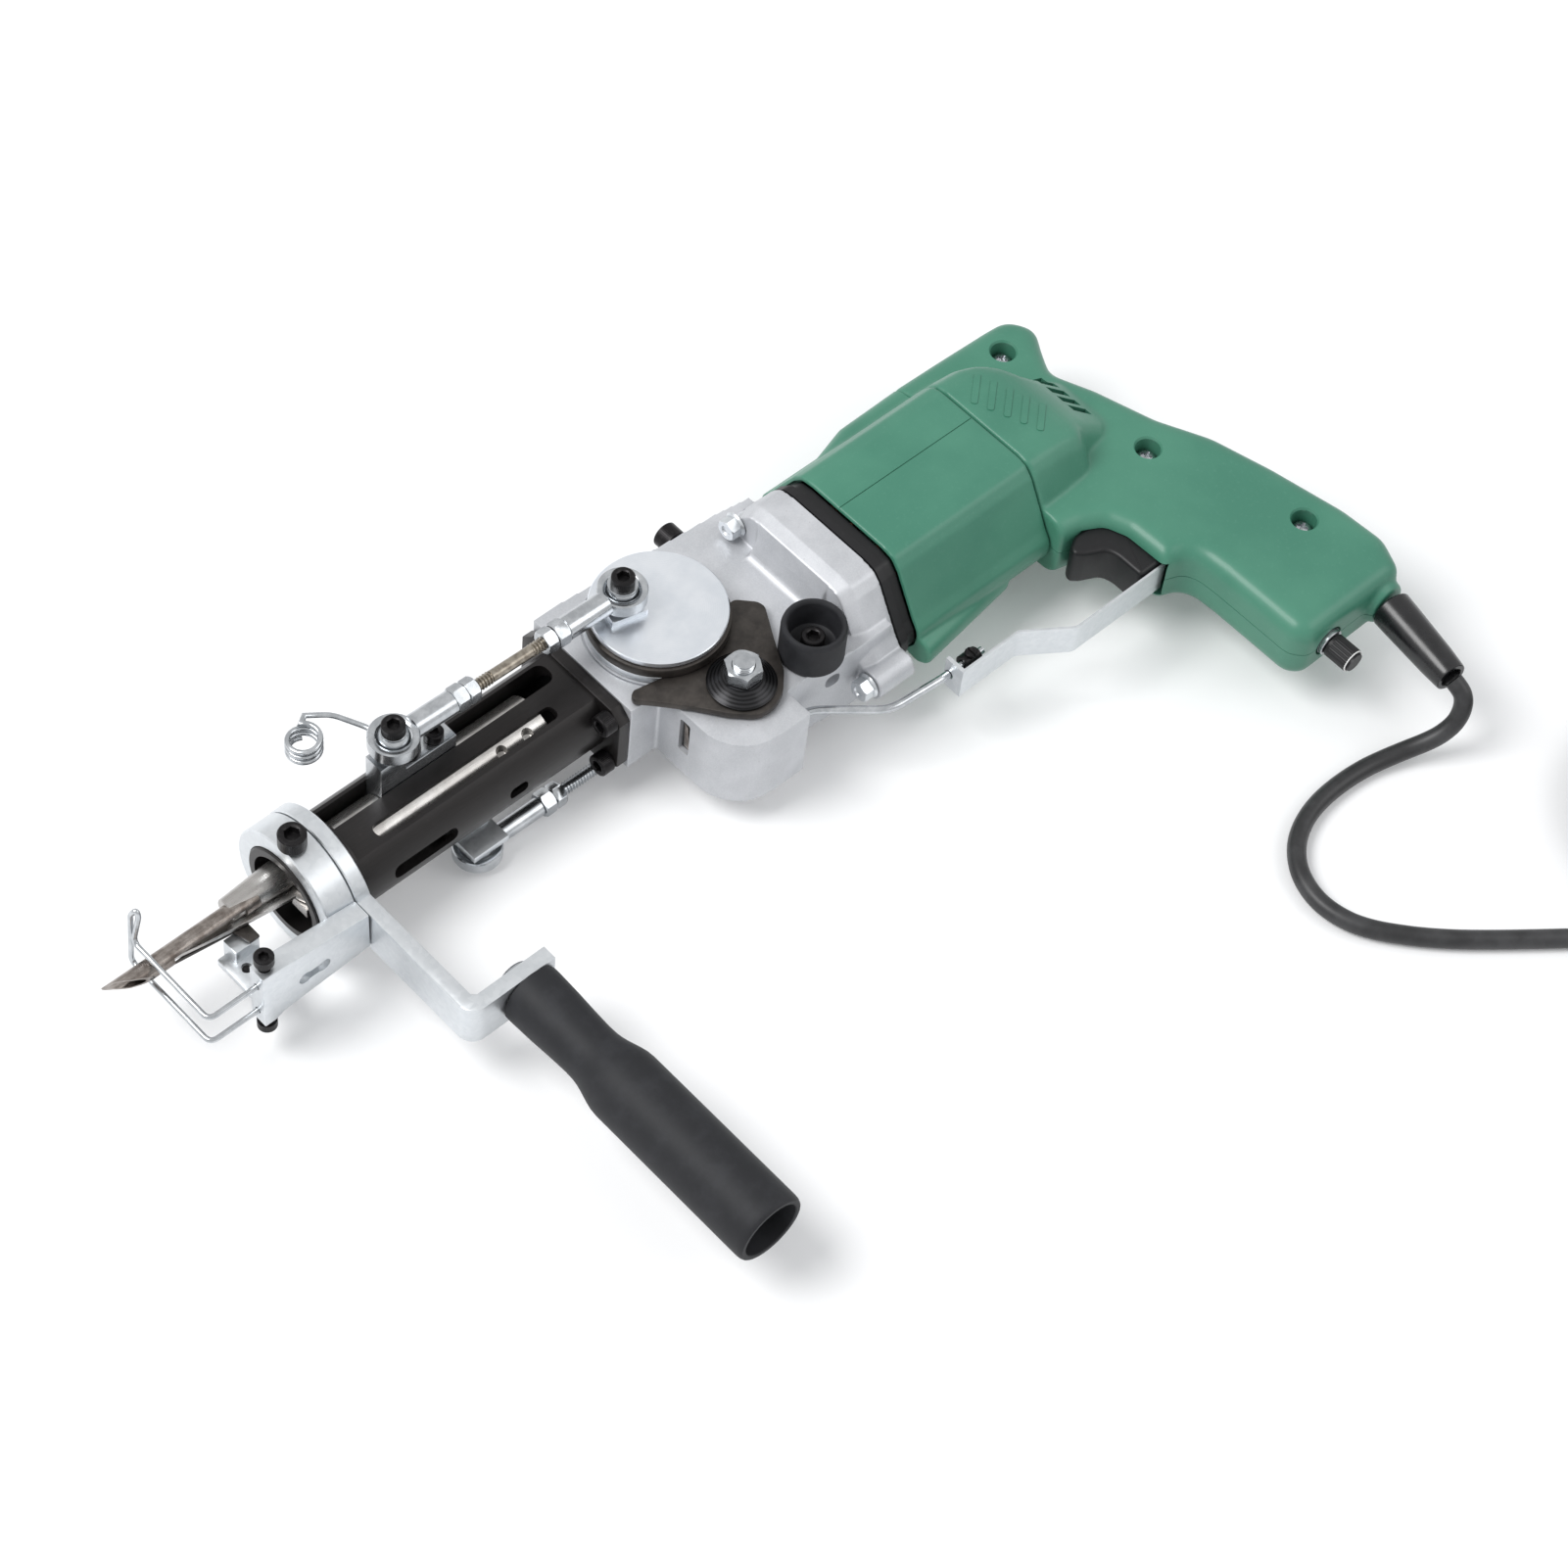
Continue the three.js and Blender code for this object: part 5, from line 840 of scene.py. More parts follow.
def casting():
    plan = [(-31.6, -22.2), (-18.3, -22.2), *arc(0.2, -43.5, 18.5, 180, 270, 14)]
    plan += [(15.5, -62), (15.5, -50), (24, -50), (BOLT_X, -52.4), (64, -52.4), (64, 22), (BOLT_X, 24),
             (-18.3, 29), (-31.6, 29)]
    body = prism(plan, CASTING_LOW, CASTING_TOP)
    small = 0.95
    rim = lofted([section_ring(BOLT_X, 0, small), section_ring(55), section_ring(66)])
    rim_top = AXIS_Z + MOTOR_TALL * small
    rise = rim_top - CASTING_TOP
    foot = BOLT_X - 5.5
    slope = [(foot + 5.5 * x, CASTING_TOP + rise * z) for x, z in
             ((0, 0), (0.25, 0.04), (0.45, 0.12), (0.65, 0.28), (0.82, 0.5), (0.93, 0.76), (1, 1))]
    slope += [(52, rim_top), (52, CASTING_TOP - 2), (foot, CASTING_TOP - 2)]
    half = SECTION[0][0] * MOTOR_WIDE * small
    ramp = prism(slope, MOTOR_Y - half, MOTOR_Y + half, "y")
    ear = lengthwise(BOLT_NEAR, BOLT_X, 66, 6)
    skin = voxelled(together(body, rim, ramp, ear), 0.5, 2, 0.3)
    tools = [lengthwise(MOTOR, 54, 70, MOTOR_BORE),
             upright((0, 0), -48, -16, 13.1),
             upright((0, 0), -20, -8, 5.3),
             sleeve((0, 0, -12.2), (0, 0, -10), 27, 26.1, 0),
             lengthwise(MOTOR, -13.1, 66, 5.6, sides=32),
             upright(ROCKER_AXIS, -48, -8, ROCKER_HOLE),
             block(34.2, 40.6, -56, -47.4, -25, -19, 0, 2.9, "y"),
             block(-20, -14.3, -38, -33, -32, -15, 0, 1.2, "x"),
             lengthwise((-53.2, AXIS_Z), 1.5, 18, 1.8, sides=32),
             lengthwise(BARREL, -34, -22.6, 12.9),
             upright(CUP, -19, -9, SCREW_ROOM, sides=32),
             sidewise((CAP_X, CAP_Z), 16, 30, SCREW_ROOM, sides=32)]
    tools += [lengthwise(axis, 47, 62, SCREW_ROOM, sides=32) for axis in (BOLT_FAR, BOLT_NEAR)]
    tools += [lengthwise((FLANGE_Y, z), -34, -17, SCREW_ROOM, sides=32) for z in FLANGE_Z.values()]
    cut(skin, *tools)
    give(skin, "cast_gearbox", "frame", CASTING, "gearbox_casting", angle=34)
    # Painted shade: a black block fills the back of the key recess so that it reads dark.
    give(block(-16.6, -14.4, -37.8, -33.2, -31.8, -15.2), "painted_shade_key_recess", "frame", BLACK)
    key = prism([(-37.4, -30.5), (-34.8, -29.5), (-34.2, -17.5), (-36, -18.5)], -17.4, -16.4, "x", 0.2)
    give(key, "slot_key", "frame", BROWNED)


def flange_bolt(axis):
    profile = [(0, -12), (2.5, -12), (2.5, 0), (4.7, 0), (4.9, 0.3), (4.6, 0.8), (4.1, 1.2), (0, 1.2)]
    flange = turned(profile, sides=56)
    hexagon = hex_nut((0, 0, 1.0), (0, 0, 5.2), 3.7, 0)
    dimple = upright((0, 0), 4.6, 6, 1.7, sides=32, end_radius=2.6)
    return aimed(joined(flange, cut(hexagon, dimple)), (BOLT_X - FIT, *axis), (-1, 0, 0))


def gearbox_parts():
    casting()
    give(flange_bolt(BOLT_FAR), "flange_bolt_far", "frame", ZINC, "bolt_far")
    give(flange_bolt(BOLT_NEAR), "flange_bolt_near", "frame", ZINC, "bolt_near")
    cap = {"shank": 2.5, "head": 5.0, "height": 6.5, "socket": 2.7}
    give(socket_screw((CAP_X, 26.3, CAP_Z), (0, 1, 0), 8, cap), "cap_screw_far", "frame", OXIDE,
         "shaft_cap_screw")
    low = CASTING_TOP + FIT
    cup = turned([(2.8, 0), (11.4, 0), (11.8, 0.4), (11.8, 13.8), (11.5, 15.1), (10.9, 15.7), (10.1, 15.6),
                  (9.5, 15.0), (9.3, 14.2), (9.1, 6), (8.6, 4.6), (7.6, 4.0), (2.8, 4.0)],
                 (*CUP, low), sides=96)
    give(cup, "cup_rubber", "frame", RUBBER, "rubber_cup")
    give(socket_screw((*CUP, -6.4), (0, 0, 1), 11.7, MEDIUM), "cup_screw_head", "frame", OXIDE, "cup_screw")


# Tube, clamp, foot, blades.

def tube_piece():
    body = lengthwise(BARREL, -163.5, -36, TUBE_RADIUS, 0.5, 96)
    flats = ((AXIS_Z + 13.7, AXIS_Z + 22), (AXIS_Z - 22, -39.7))
    cut(body, *[block(-141.5, -28, -16, 23, *span) for span in flats])
    outline = [(-17.2, -44), (24, -44), (29, -39), (29, -16), (24, -11), (-17.2, -11), (-22.2, -16),
               (-22.2, -39)]
    flange = prism(outline, -36.7, -31.9, "x", 0.4)
    joined(body, flange)
    inner = BARREL_Y - 1.4
    slots = [block(-144, -41, 5.9, 14.7, AXIS_Z + 1.4, 0, 0, 4.3),
             block(-130, -50.5, -7.1, -1.1, AXIS_Z + 1.4, 0, 0, 2.95),
             block(-124, -60, -7.1, -1.1, -60, AXIS_Z - 1.4, 0, 2.95),
             block(-130.5, -103, -20, inner, -27.6, -21.3, 0, 3.1, "y"),
             block(-129.5, -104, -13.4, inner - 0.3, -35, -21.3),
             block(-79.7, -71.7, -20, inner, -27.4, -22.5, 0, 2.4, "y"),
             block(-79.2, -72.2, -13.4, inner - 0.3, -33, -22.5)]
    bore = lengthwise(BARREL, -170, -20, 12.6, sides=90)
    mouth = lengthwise(BARREL, -170, -151.5, 15.3, sides=90)
    rooms = [lengthwise((FLANGE_Y, z), -40, -28, SCREW_ROOM, sides=32) for z in FLANGE_Z.values()]
    for tool in (bore, mouth, *slots, *rooms):
        cut(body, tool)
    give(body, "tube_slotted", "frame", ANODISED, "slotted_tube")
    for name, z in FLANGE_Z.items():
        give(socket_screw((-37, FLANGE_Y, z), (-1, 0, 0), 14, MEDIUM), "flange_cap_" + name, "frame", OXIDE,
             "flange_screw_" + name)


def clamp_piece():
    rear, front = -151.1, -162.7
    ring = lengthwise(BARREL, front, rear, 25, 0.5, 120)
    shares = [(0, 0.83), (0.01, 0.16), (0.82, 0), (1, 0), (1, 1), (0.9, 1), (0.82, 0.93), (0.01, 0.83)]
    outline = [(rear - x * 44.4, -10.3 - z * 28) for x, z in shares]
    foot = prism(outline, -27, -19.5, "y", 0.4)
    joined(ring, foot)
    tools = [lengthwise(BARREL, -170, -145, RING_BORE, sides=96)]
    wire_y = WIRE_SCREWS[1]
    tools += [lengthwise((wire_y, z), -200, -171.7, 1.3, sides=24) for z in WIRE_Z]
    tools += [upright(WIRE_SCREWS, start, end, 2.3, sides=32) for start, end in zip((-8, -41), WIRE_Z)]
    tools.append(block(-179.1, -170.1, -30, -24, -27.5, -23.5, 0, 1.9, "y"))
    dent = [(0, 0), (2.7, 0), (2.7, 1), (2.2, 2.4), (0, 3)]
    tools += [turned(dent, (x, -27.6, -25.5), (0, 1, 0), 40) for x in (-178.4, -170.8)]
    tools.append(upright((CLAMP_X, BARREL_Y), AXIS_Z, 3, 3.3, sides=40))
    cut(ring, *tools)
    give(ring, "clamp_with_foot", "frame", ZINC, "front_clamp")
    give(socket_screw((CLAMP_X, BARREL_Y, 0.2), (0, 0, 1), 7.3, LARGE), "clamp_cap", "frame", OXIDE,
         "clamp_screw")
    give(socket_screw((*WIRE_SCREWS, -7.1), (0, 0, 1), 10, SMALL), "wire_cap_upper", "frame", OXIDE,
         "wire_screw_upper")
    give(socket_screw((*WIRE_SCREWS, -41.5), (0, 0, -1), 7.5, SMALL), "wire_cap_lower", "frame", OXIDE,
         "wire_screw_lower")
    (upper, lower), front = WIRE_Z, -215.2
    loop = [(-178, wire_y, upper), (front, wire_y, upper), (front, 16.4, upper), (front + 3, 16.4, -6.4),
            (front + 3, 17.6, -4), (front + 1.5, 18.8, -6.4), (front, 18.8, lower), (front, wire_y, lower),
            (-178, wire_y, lower)]
    give(wire(bent(loop, 3.2), 1.0), "guard_wire_loop", "guard_wire", BRIGHT, "guard_wire", angle=60)


def blades():
    plate = block(-192, -178, -19.2, 3.4, -40.1, -37.1, 0.35, 0.8)
    pillar = block(-188, -178, -2, 5, -40.1, -31.3, 0.3, 0.5)
    hole = upright((-186.5, -5.5), -44, -36, 2, sides=40)
    give(cut(joined(plate, pillar), hole), "foot_plate_body", "frame", ZINC, "foot_plate")
    screw = turned([(0, 0), (1.6, 0), (1.6, 1.6), (1.2, 2.0), (0, 2.0)], (-186.5, -5.5, -39.4), sides=40)
    give(screw, "foot_plate_screw", "frame", OXIDE)
    fixed = prism([(-207.5, 7.6), (-184, 4.6), (-182, -2), (-178, -2), (-178, 5), (-186, 8.5)], -31.0, -29.4,
                  edge=0.2)
    give(fixed, "blade_fixed", "frame", OILED, "fixed_blade")
    outline = [(-206.7, 8.0), (-182.7, 3.9), (-160, 1.2), (-158, -4.3), (-142, -4.3), (-142, 3.1),
               (-160, 6.2), (-196, 10)]
    give(prism(outline, -29.1, -27.3, edge=0.3), "blade_moving", "scissor", GROUND, "moving_blade")


# Needle slider, needle and yarn guide.

NOSE = (9.4, -23.5)
NEEDLE = (7.4, -23.3)
SLOT_Y = 10.3


def hollow_needle():
    """A gouge that is open on the near side; its lower lip ends where the blades begin."""
    y, z = NEEDLE
    tube = lengthwise((y, z), -233, -172, 3.6, 0.2, 96)

    def wedge(first, last, start, end):
        corners = [(y + 8 * math.cos(math.radians(a)), z + 8 * math.sin(math.radians(a)))
                   for a in (first, (first + last) / 2, last)]
        return prism([(y, z), *corners], start, end, "x")

    slant = prism([(-240, 8), (-233.3, 3.8), (-229, 2), (-224, -0.8), (-219, -2.8), (-214.5, -3.8),
                   (-214.5, -9), (-240, -9)], -9, 9)
    moved(slant, Matrix.Translation((0, y, z)) @ Matrix.Rotation(math.radians(12), 4, "X"))
    channel = lengthwise((y, z), -240, -165, 2.7, sides=64)
    for tool in (slant, channel, wedge(150, 280, -208, -178)):
        cut(tube, tool)
    give(tube, "needle_hollow", "needle_carriage", BROWNED, "needle")


def needle_parts():
    front, rear = -158, -54
    body = lengthwise(BARREL, front, rear, SLIDE_RADIUS, 0.5, 96)
    nose = turned([(0, 0), (3.9, 0), (4.3, 0.4), (5.7, 20.5), (5.7, 28), (0, 28)], (-183, *NOSE), (1, 0, 0),
                  64)
    joined(body, nose)
    marks = [turned([(0, 0), (1.9, 0.3), (2.3, 3), (2.3, 7), (0, 7)], (x, -4.1, -18.6), sides=32)
             for x in (-74.1, -62.6)]
    underside = -26.6
    tools = [block(-190, -50, -20, 30, -60, underside), block(-119.1, -85.5, 5.9, 14.7, -21, -5)]
    tools += [upright((x, SLOT_Y), -30, -5, 2.3, sides=32) for x in SLIDER_SCREWS.values()]
    cut(body, *tools, *marks)
    give(body, "needle_slide", "needle_carriage", GROUND, "needle_slider")
    hollow_needle()
    profile = [(-118.8, -20.7), (-85.8, -20.7), (-85.8, -6.6), (-107.8, -6.6), (-107.8, 1.8), (-118.8, 1.8)]
    half = 4.1
    bracket = prism(profile, SLOT_Y - half, SLOT_Y + half, "y", 0.3)
    rooms = [upright((FRONT_PIN_X, SLOT_Y), -8, 3, SCREW_ROOM, sides=32)]
    rooms += [upright((x, SLOT_Y), -24, -4, 2.3, sides=32) for x in SLIDER_SCREWS.values()]
    give(cut(bracket, *rooms), "bracket_body", "needle_carriage", BRIGHT, "slider_bracket")
    for name, x in SLIDER_SCREWS.items():
        give(socket_screw((x, SLOT_Y, -6.3), (0, 0, 1), 17.4, SMALL), "bracket_cap_" + name,
             "needle_carriage", OXIDE, "bracket_screw_" + name)
    guide()


def guide():
    """The yarn guide: three open curls of wire and an arm to the front pin."""
    turns, steps, radius, pitch = 3, 28, 5.6, 2.7
    x, y, z = -131.5, 31, -1.6
    coil = []
    for k in range(turns * steps + 1):
        angle = math.tau * k / steps + math.pi / 3
        coil.append((x + radius * math.cos(angle), y + radius * math.sin(angle), z + pitch * k / steps))
    arm = [(-125.9, 37.72, 6.5), (-117.84, 33.24, 4.75), (-111, 22.04, 3), (FRONT_PIN_X, 15.6, 3)]
    give(wire([*coil, *bent(arm, 3)], 1.0, 16), "yarn_guide_wire", "needle_carriage", BRIGHT, "yarn_guide",
         angle=60)


# Crank, rods and rocker.

CRANK_PIN = (-9.9, 8.2)
ROD_Z = 8.0
ROD_TURN = math.atan2(CRANK_PIN[1] - SLOT_Y, CRANK_PIN[0] - FRONT_PIN_X)
ROD_LENGTH = math.hypot(CRANK_PIN[1] - SLOT_Y, CRANK_PIN[0] - FRONT_PIN_X)


def rod_end(shank_end, half=3.0, shank=4.4):
    """A ball rod end at the origin, its shank along +X."""
    race = turned([(6.35, -half * 0.8), (7.6, -half), (8.6, -half), (9, -half + 0.5), (9, half - 0.5),
                   (8.6, half), (7.6, half), (6.35, half * 0.8), (6.55, 0)], sides=96)
    neck = lengthwise((0, 0), 7.6, shank_end - 5, shank, 0.3, 56)
    cut(neck, upright((0, 0), -6, 6, 7.4, sides=64))
    body = joined(race, neck)
    return joined(body, hex_nut((shank_end - 5, 0, 0), (shank_end, 0, 0), 4.25, 0))


def ball_pin(spacer, shank, half=4.0):
    """A ball with flats, on a pin: first a spacer under it, and then a shank."""
    ball, pin, steps = 6, 2.5, 16
    reach = math.sqrt(ball * ball - half * half)
    sphere = [(ball * math.cos(t), ball * math.sin(t)) for t in
              (math.asin(-half / ball) + math.asin(half / ball) * 2 * k / steps for k in range(steps + 1))]
    profile = [(0, -half - spacer - shank), (pin, -half - spacer - shank), (pin, -half - spacer),
               (4.8, -half - spacer), (5, -half - spacer + 0.2), (5, -half - 0.2),
               (max(reach - 0.2, 4.6), -half), *sphere, (0, half)]
    return turned(profile, sides=80)


def washer(radius, hole, low, high):
    return sleeve((0, 0, low), (0, 0, high), radius, hole, 0.15, 64)


def to_rod(obj, along=0.0, base=(FRONT_PIN_X, SLOT_Y, ROD_Z), turn=ROD_TURN, flip=False):
    spin = Matrix.Rotation(turn, 4, "Z") @ Matrix.Translation((along, 0, 0))
    if flip:
        spin = spin @ Matrix.Rotation(math.pi, 4, "Z")
    return moved(obj, Matrix.Translation(base) @ spin)


def upper_rod():
    body = "upper_rod"
    give(to_rod(rod_end(30)), "rod_end_front_body", body, BRIGHT, "rod_end_front")
    give(to_rod(rod_end(31), ROD_LENGTH, flip=True), "rod_end_rear_body", body, BRIGHT, "rod_end_rear")
    front = ball_pin(ROD_Z - 4 - 1.8 - FIT, 8.7)
    front = together(front, washer(4.4, 2.6, 4.05, 4.7))
    give(to_rod(front), "front_ball", "needle_carriage", BRIGHT, "front_pin")
    head = {"shank": 2.4, "head": 4.25, "height": 5.0, "socket": 2.2}
    give(to_rod(socket_screw((0, 0, 4.0), (0, 0, 1), 1, head)), "front_ball_cap", "needle_carriage", OXIDE)
    rear = together(ball_pin(ROD_Z - 4 - 3.1, FIT), washer(5.4, 2.6, 4.05, 4.9))
    give(to_rod(rear, ROD_LENGTH), "rear_ball", body, BRIGHT, "crank_pin")
    give(to_rod(socket_screw((0, 0, 4.2), (0, 0, 1), 1, head), ROD_LENGTH), "rear_ball_cap", body, OXIDE)
    first, last = 30.3, ROD_LENGTH - 31.3
    give(to_rod(hex_nut((first, 0, 0), (first + 4.4, 0, 0), 4.1, 2.55)), "lock_nut_front", body, BRIGHT,
         "jam_nut_front")
    give(to_rod(hex_nut((last - 4.6, 0, 0), (last, 0, 0), 4.1, 2.55)), "lock_nut_rear", body, BRIGHT,
         "jam_nut_rear")
    stud = together(thread((first, 0, 0), (first + 12, 0, 0), 2.4, 1.25, YELLOW),
                    thread((last - 10, 0, 0), (last, 0, 0), 2.4, 1.25, YELLOW),
                    lengthwise((0, 0), first + 11.5, last - 9.5, 2.2, sides=48))
    give(to_rod(stud), "rod_stud_threaded", body, YELLOW, "rod_stud", angle=50)


def crank():
    disc = turned([(0, -2.6), (24.3, -2.6), (24.8, -2.2), (24.8, -0.35), (24.45, 0), (0, 0)], sides=160)
    foot = block(-7, 7, -7, 7, -0.5, 2.5, 0.3, 0.8)
    moved(foot, Matrix.Translation((*CRANK_PIN, 0)) @ Matrix.Rotation(math.radians(-14), 4, "Z"))
    give(joined(disc, foot), "crank_disc_top", "crank", DISC, "crank_disc")
    outline = []
    steps, least, lift = 144, 23.5, 2.3
    for k in range(steps):
        share = (k / steps - 0.2) / 0.65
        lobe = min(max(min(share, 1 - share) * 12, 0), 1)
        angle = math.tau * k / steps + math.pi / 4
        radius = least + lift * lobe * lobe * (3 - 2 * lobe)
        outline.append((radius * math.cos(angle), radius * math.sin(angle)))
    cam = prism(outline, -6.9, -2.9, edge=0.3)
    flange = upright((0, 0), -10.6, -7.1, 25.4, 0.4, 160)
    give(flange, "crank_flange", "crank", ZINC)
    shaft = upright((0, 0), -33, -3.2, 5)
    wheel = upright((0, 0), -30, -22, 11.1, 0.4)
    give(joined(cam, shaft, wheel), "crank_cam_body", "crank", OILED, "crank_cam")


def rocker():
    shares = [(0.87, 0), (0.904, 0.01), (0.992, 0.144), (1, 0.216), (0.882, 0.51), (0.773, 0.798),
              (0.674, 0.94), (0.58, 1), (0.462, 0.995), (0.34, 0.82), (0.22, 0.584), (0.058, 0.321),
              (0, 0.237), (0.014, 0.19), (0.045, 0.165), (0.2, 0.21), (0.4, 0.27), (0.6, 0.22), (0.75, 0.1)]
    corners = [9] * 11 + [5, 2, 1.5, 2] + [9] * 4
    outline = softened([(-29.6 + x * 62.6, -10.5 - y * 43) for x, y in shares], corners, 5)
    plate = prism(outline, -10.2, -7.2, edge=0.35)
    cut(plate, upright(ROCKER_AXIS, -20, 0, ROCKER_HOLE))
    give(plate, "rocker_plate_body", "rocker", OILED, "rocker_plate")
    cone = turned([(ROCKER_HOLE, 0), (12.1, 0), (12.4, 0.3), (12.4, 0.8), (12.0, 1.1), (8.2, 3.6), (7.6, 4.3),
                   (7.2, 4.4), (ROCKER_HOLE, 4.4)], (*ROCKER_AXIS, -6.9), sides=120)
    give(cone, "cone_washer_body", "rocker", TURNED, "cone_washer")
    give(hex_nut((*ROCKER_AXIS, -2.2), (*ROCKER_AXIS, 3.4), 6.1, 4.25), "rocker_nut_body", "rocker", BRIGHT,
         "rocker_nut")
    lever = arc(*ROCKER_AXIS, 6.5, 186, 356, 17) + arc(*LEVER_PIN, 6.5, 6, 186, 18)
    arm = prism(lever, -47.3, -44.5, edge=0.3)
    shaft = upright(ROCKER_AXIS, -47.2, -3, 3.98)
    joined(arm, shaft)
    end = thread((*ROCKER_AXIS, -3), (*ROCKER_AXIS, 5.6), 3.98, 0.9, BRIGHT)
    give(together(arm, end), "rocker_shaft_body", "rocker", BRIGHT, "rocker_shaft", angle=50)


def lower_rod():
    span = (LEVER_PIN[1] - SLIDE_PIN[1], LEVER_PIN[0] - SLIDE_PIN[0])
    turn, length = math.atan2(*span), math.hypot(*span)
    give(to_rod(rod_end(33, 2.6, 3.6), 0, SLIDE_PIN, turn), "low_rod_end_front", "lower_rod", BRIGHT,
         "lower_rod_end_front")
    ring = rod_end(18, 2.6, 3.6)
    ring = together(ring, ball_pin(0, 0.1, 3.5))
    to_rod(ring, length, SLIDE_PIN, turn, True)
    stud = thread((33.3, 0, 0), (length - 18, 0, 0), 2.4, 1.25, BRIGHT)
    nut = hex_nut((33.3, 0, 0), (37.7, 0, 0), 4.1, 2.2)
    give(together(ring, to_rod(together(stud, nut), 0, SLIDE_PIN, turn)), "low_rod_end_rear", "lower_rod",
         BRIGHT, "lower_rod_end_rear", angle=50)


def scissor():
    body = lengthwise(BARREL, -130, -72, SLIDE_RADIUS, 0.4, 96)
    tongue = block(-160, -128, -4.6, 3.1, -34, -27)
    joined(body, tongue)
    cut(body, block(-165, -60, -25, 32, -27, 0), block(-165, -141.7, -25, 32, -29.4, -24))
    neck = block(-97, -81.5, -6.8, -1.4, -47.6, -32)
    tab = block(-97, -81.5, -17, -1.4, -47.6, -44.6, 0.3)
    pin = ball_pin(1.4, 0, 3.6)
    top = upright((0, 0), 3, 6.6, 2.5, sides=32)
    pin = moved(joined(pin, top), Matrix.Translation(SLIDE_PIN))
    give(body, "scissor_slide", "scissor", GROUND, "scissor_slider")
    give(together(joined(neck, tab), pin), "scissor_tab", "scissor", ZINC)


# Side handle.

GRIP_X = -125.7


def side_handle():
    ring = lengthwise(BARREL, -150.8, -145, 25.2, 0.4, 120)
    path = [(-150.8, BARREL_Y), (-150.8, -72), *arc(-144.8, -72, 6, 180, 270, 10), (-114.5, -78),
            (-114.5, -72.2), (-143.5, -72.2), (-145, -70.7), (-145, BARREL_Y)]
    half = 9.65
    arm = prism(path, AXIS_Z - half, AXIS_Z + half, edge=0.4)
    joined(ring, arm)
    cut(ring, lengthwise(BARREL, -160, -140, RING_BORE, sides=96),
        sidewise((GRIP_X, AXIS_Z), -85, -65, 4.2, sides=40))
    give(ring, "handle_bracket_body", "frame", ZINC, "handle_bracket")
    dome = [(7 * math.cos(math.radians(a)), 0.9 + 2.7 * math.sin(math.radians(a))) for a in range(0, 90, 10)]
    bolt = turned([(0, -29.8), (3.9, -29.8), (3.9, 0), (7, 0), *dome, (0, 3.6)], (GRIP_X, -71.9, AXIS_Z),
                  (0, 1, 0), 72)
    give(bolt, "handle_bolt_head", "frame", BRIGHT, "handle_bolt")
    shares = [(0.79, 0), (0.84, 0.004), (0.845, 0.02), (0.835, 0.06), (0.82, 0.11), (0.795, 0.16),
              (0.775, 0.21), (0.765, 0.25), (0.775, 0.28), (0.8, 0.3), (0.84, 0.32), (0.89, 0.34),
              (0.94, 0.36), (0.98, 0.38), (1, 0.405), (1, 0.7), (1, 0.975), (0.99, 0.988), (0.96, 0.997),
              (0.93, 1)]
    radius, length, hollow, deep = 13.5, 117.5, 10.8, 45.5
    profile = [(0, 0), *((r * radius, t * length) for r, t in shares), (11.3, length), (10.9, 117.2),
               (hollow, 116.6), (hollow, 46), (10.2, deep), (0, deep)]
    grip = turned(profile, (GRIP_X, -78.3, AXIS_Z), (0, -1, 0), 128)
    cut(grip, sidewise((GRIP_X, AXIS_Z), -76, -110, 4.2, sides=40))
    give(grip, "grip_rubber", "frame", RUBBER, "handle_grip")


# Motor: bracket, shell, armature.

def end_bracket():
    front = lofted([section_ring(66.3, 1.0), section_ring(70.6, 0.8)])
    rear = lofted([section_ring(70.6, 2.2), section_ring(75, 2.2)])
    joined(front, rear)
    cut(front, lengthwise(MOTOR, 60, 80, MOTOR_BORE, sides=96))
    spokes = [block(66.3, 75, MOTOR_Y - 27.3, MOTOR_Y + 27.3, AXIS_Z - 2.5, AXIS_Z + 2.5, 0.3),
              block(66.3, 75, MOTOR_Y - 2.5, MOTOR_Y + 2.5, AXIS_Z - 27.3, AXIS_Z + 27.3, 0.3),
              lengthwise(MOTOR, 66.3, 75, 9, 0.4)]
    joined(front, *spokes)
    cut(front, lengthwise(MOTOR, 60, 80, 3.5, sides=40))
    lip = lofted([section_ring(66.2, 2.4), section_ring(66.9, 0.4), section_ring(69.6, 0.4),
                  section_ring(70.2, 2.4)])
    cut(lip, lengthwise(MOTOR, 60, 80, MOTOR_BORE, sides=96))
    give(together(front, lip), "end_bracket_body", "frame", BLACK, "end_bracket")


def drawn_in(points, distance):
    """The outline with every side moved inwards by the distance."""
    spans = [(Vector(b) - Vector(a)).normalized() for a, b in zip(points, points[1:] + points[:1])]
    area = sum(a[0] * b[1] - a[1] * b[0] for a, b in zip(points, points[1:] + points[:1]))
    side = 1 if area > 0 else -1
    out = []
    for at, here in enumerate(points):
        first, second = (Vector((-way.y, way.x)) * side for way in (spans[at - 1], spans[at]))
        out.append(Vector(here) + (first + second) * distance / (1 + first.dot(second)))
    return out


SLAB_HALF, SLAB_RIM = 14.3, 7


def rounded_slab(points, low, high, rim, corners, steps=7):
    """A slab with a round rim: the outline is drawn in step by step towards its two faces."""
    angles = [math.pi / 2 * k / steps for k in range(steps + 1)]
    inner = [(rim * (1 - math.cos(a)), rim * (1 - math.sin(a))) for a in angles]
    rings = [(d, low + z) for d, z in reversed(inner)] + [(d, high - z) for d, z in inner]
    return lofted([[Vector((*p, z)) for p in softened([tuple(p) for p in drawn_in(points, d)], corners, 6)]
                   for d, z in rings])


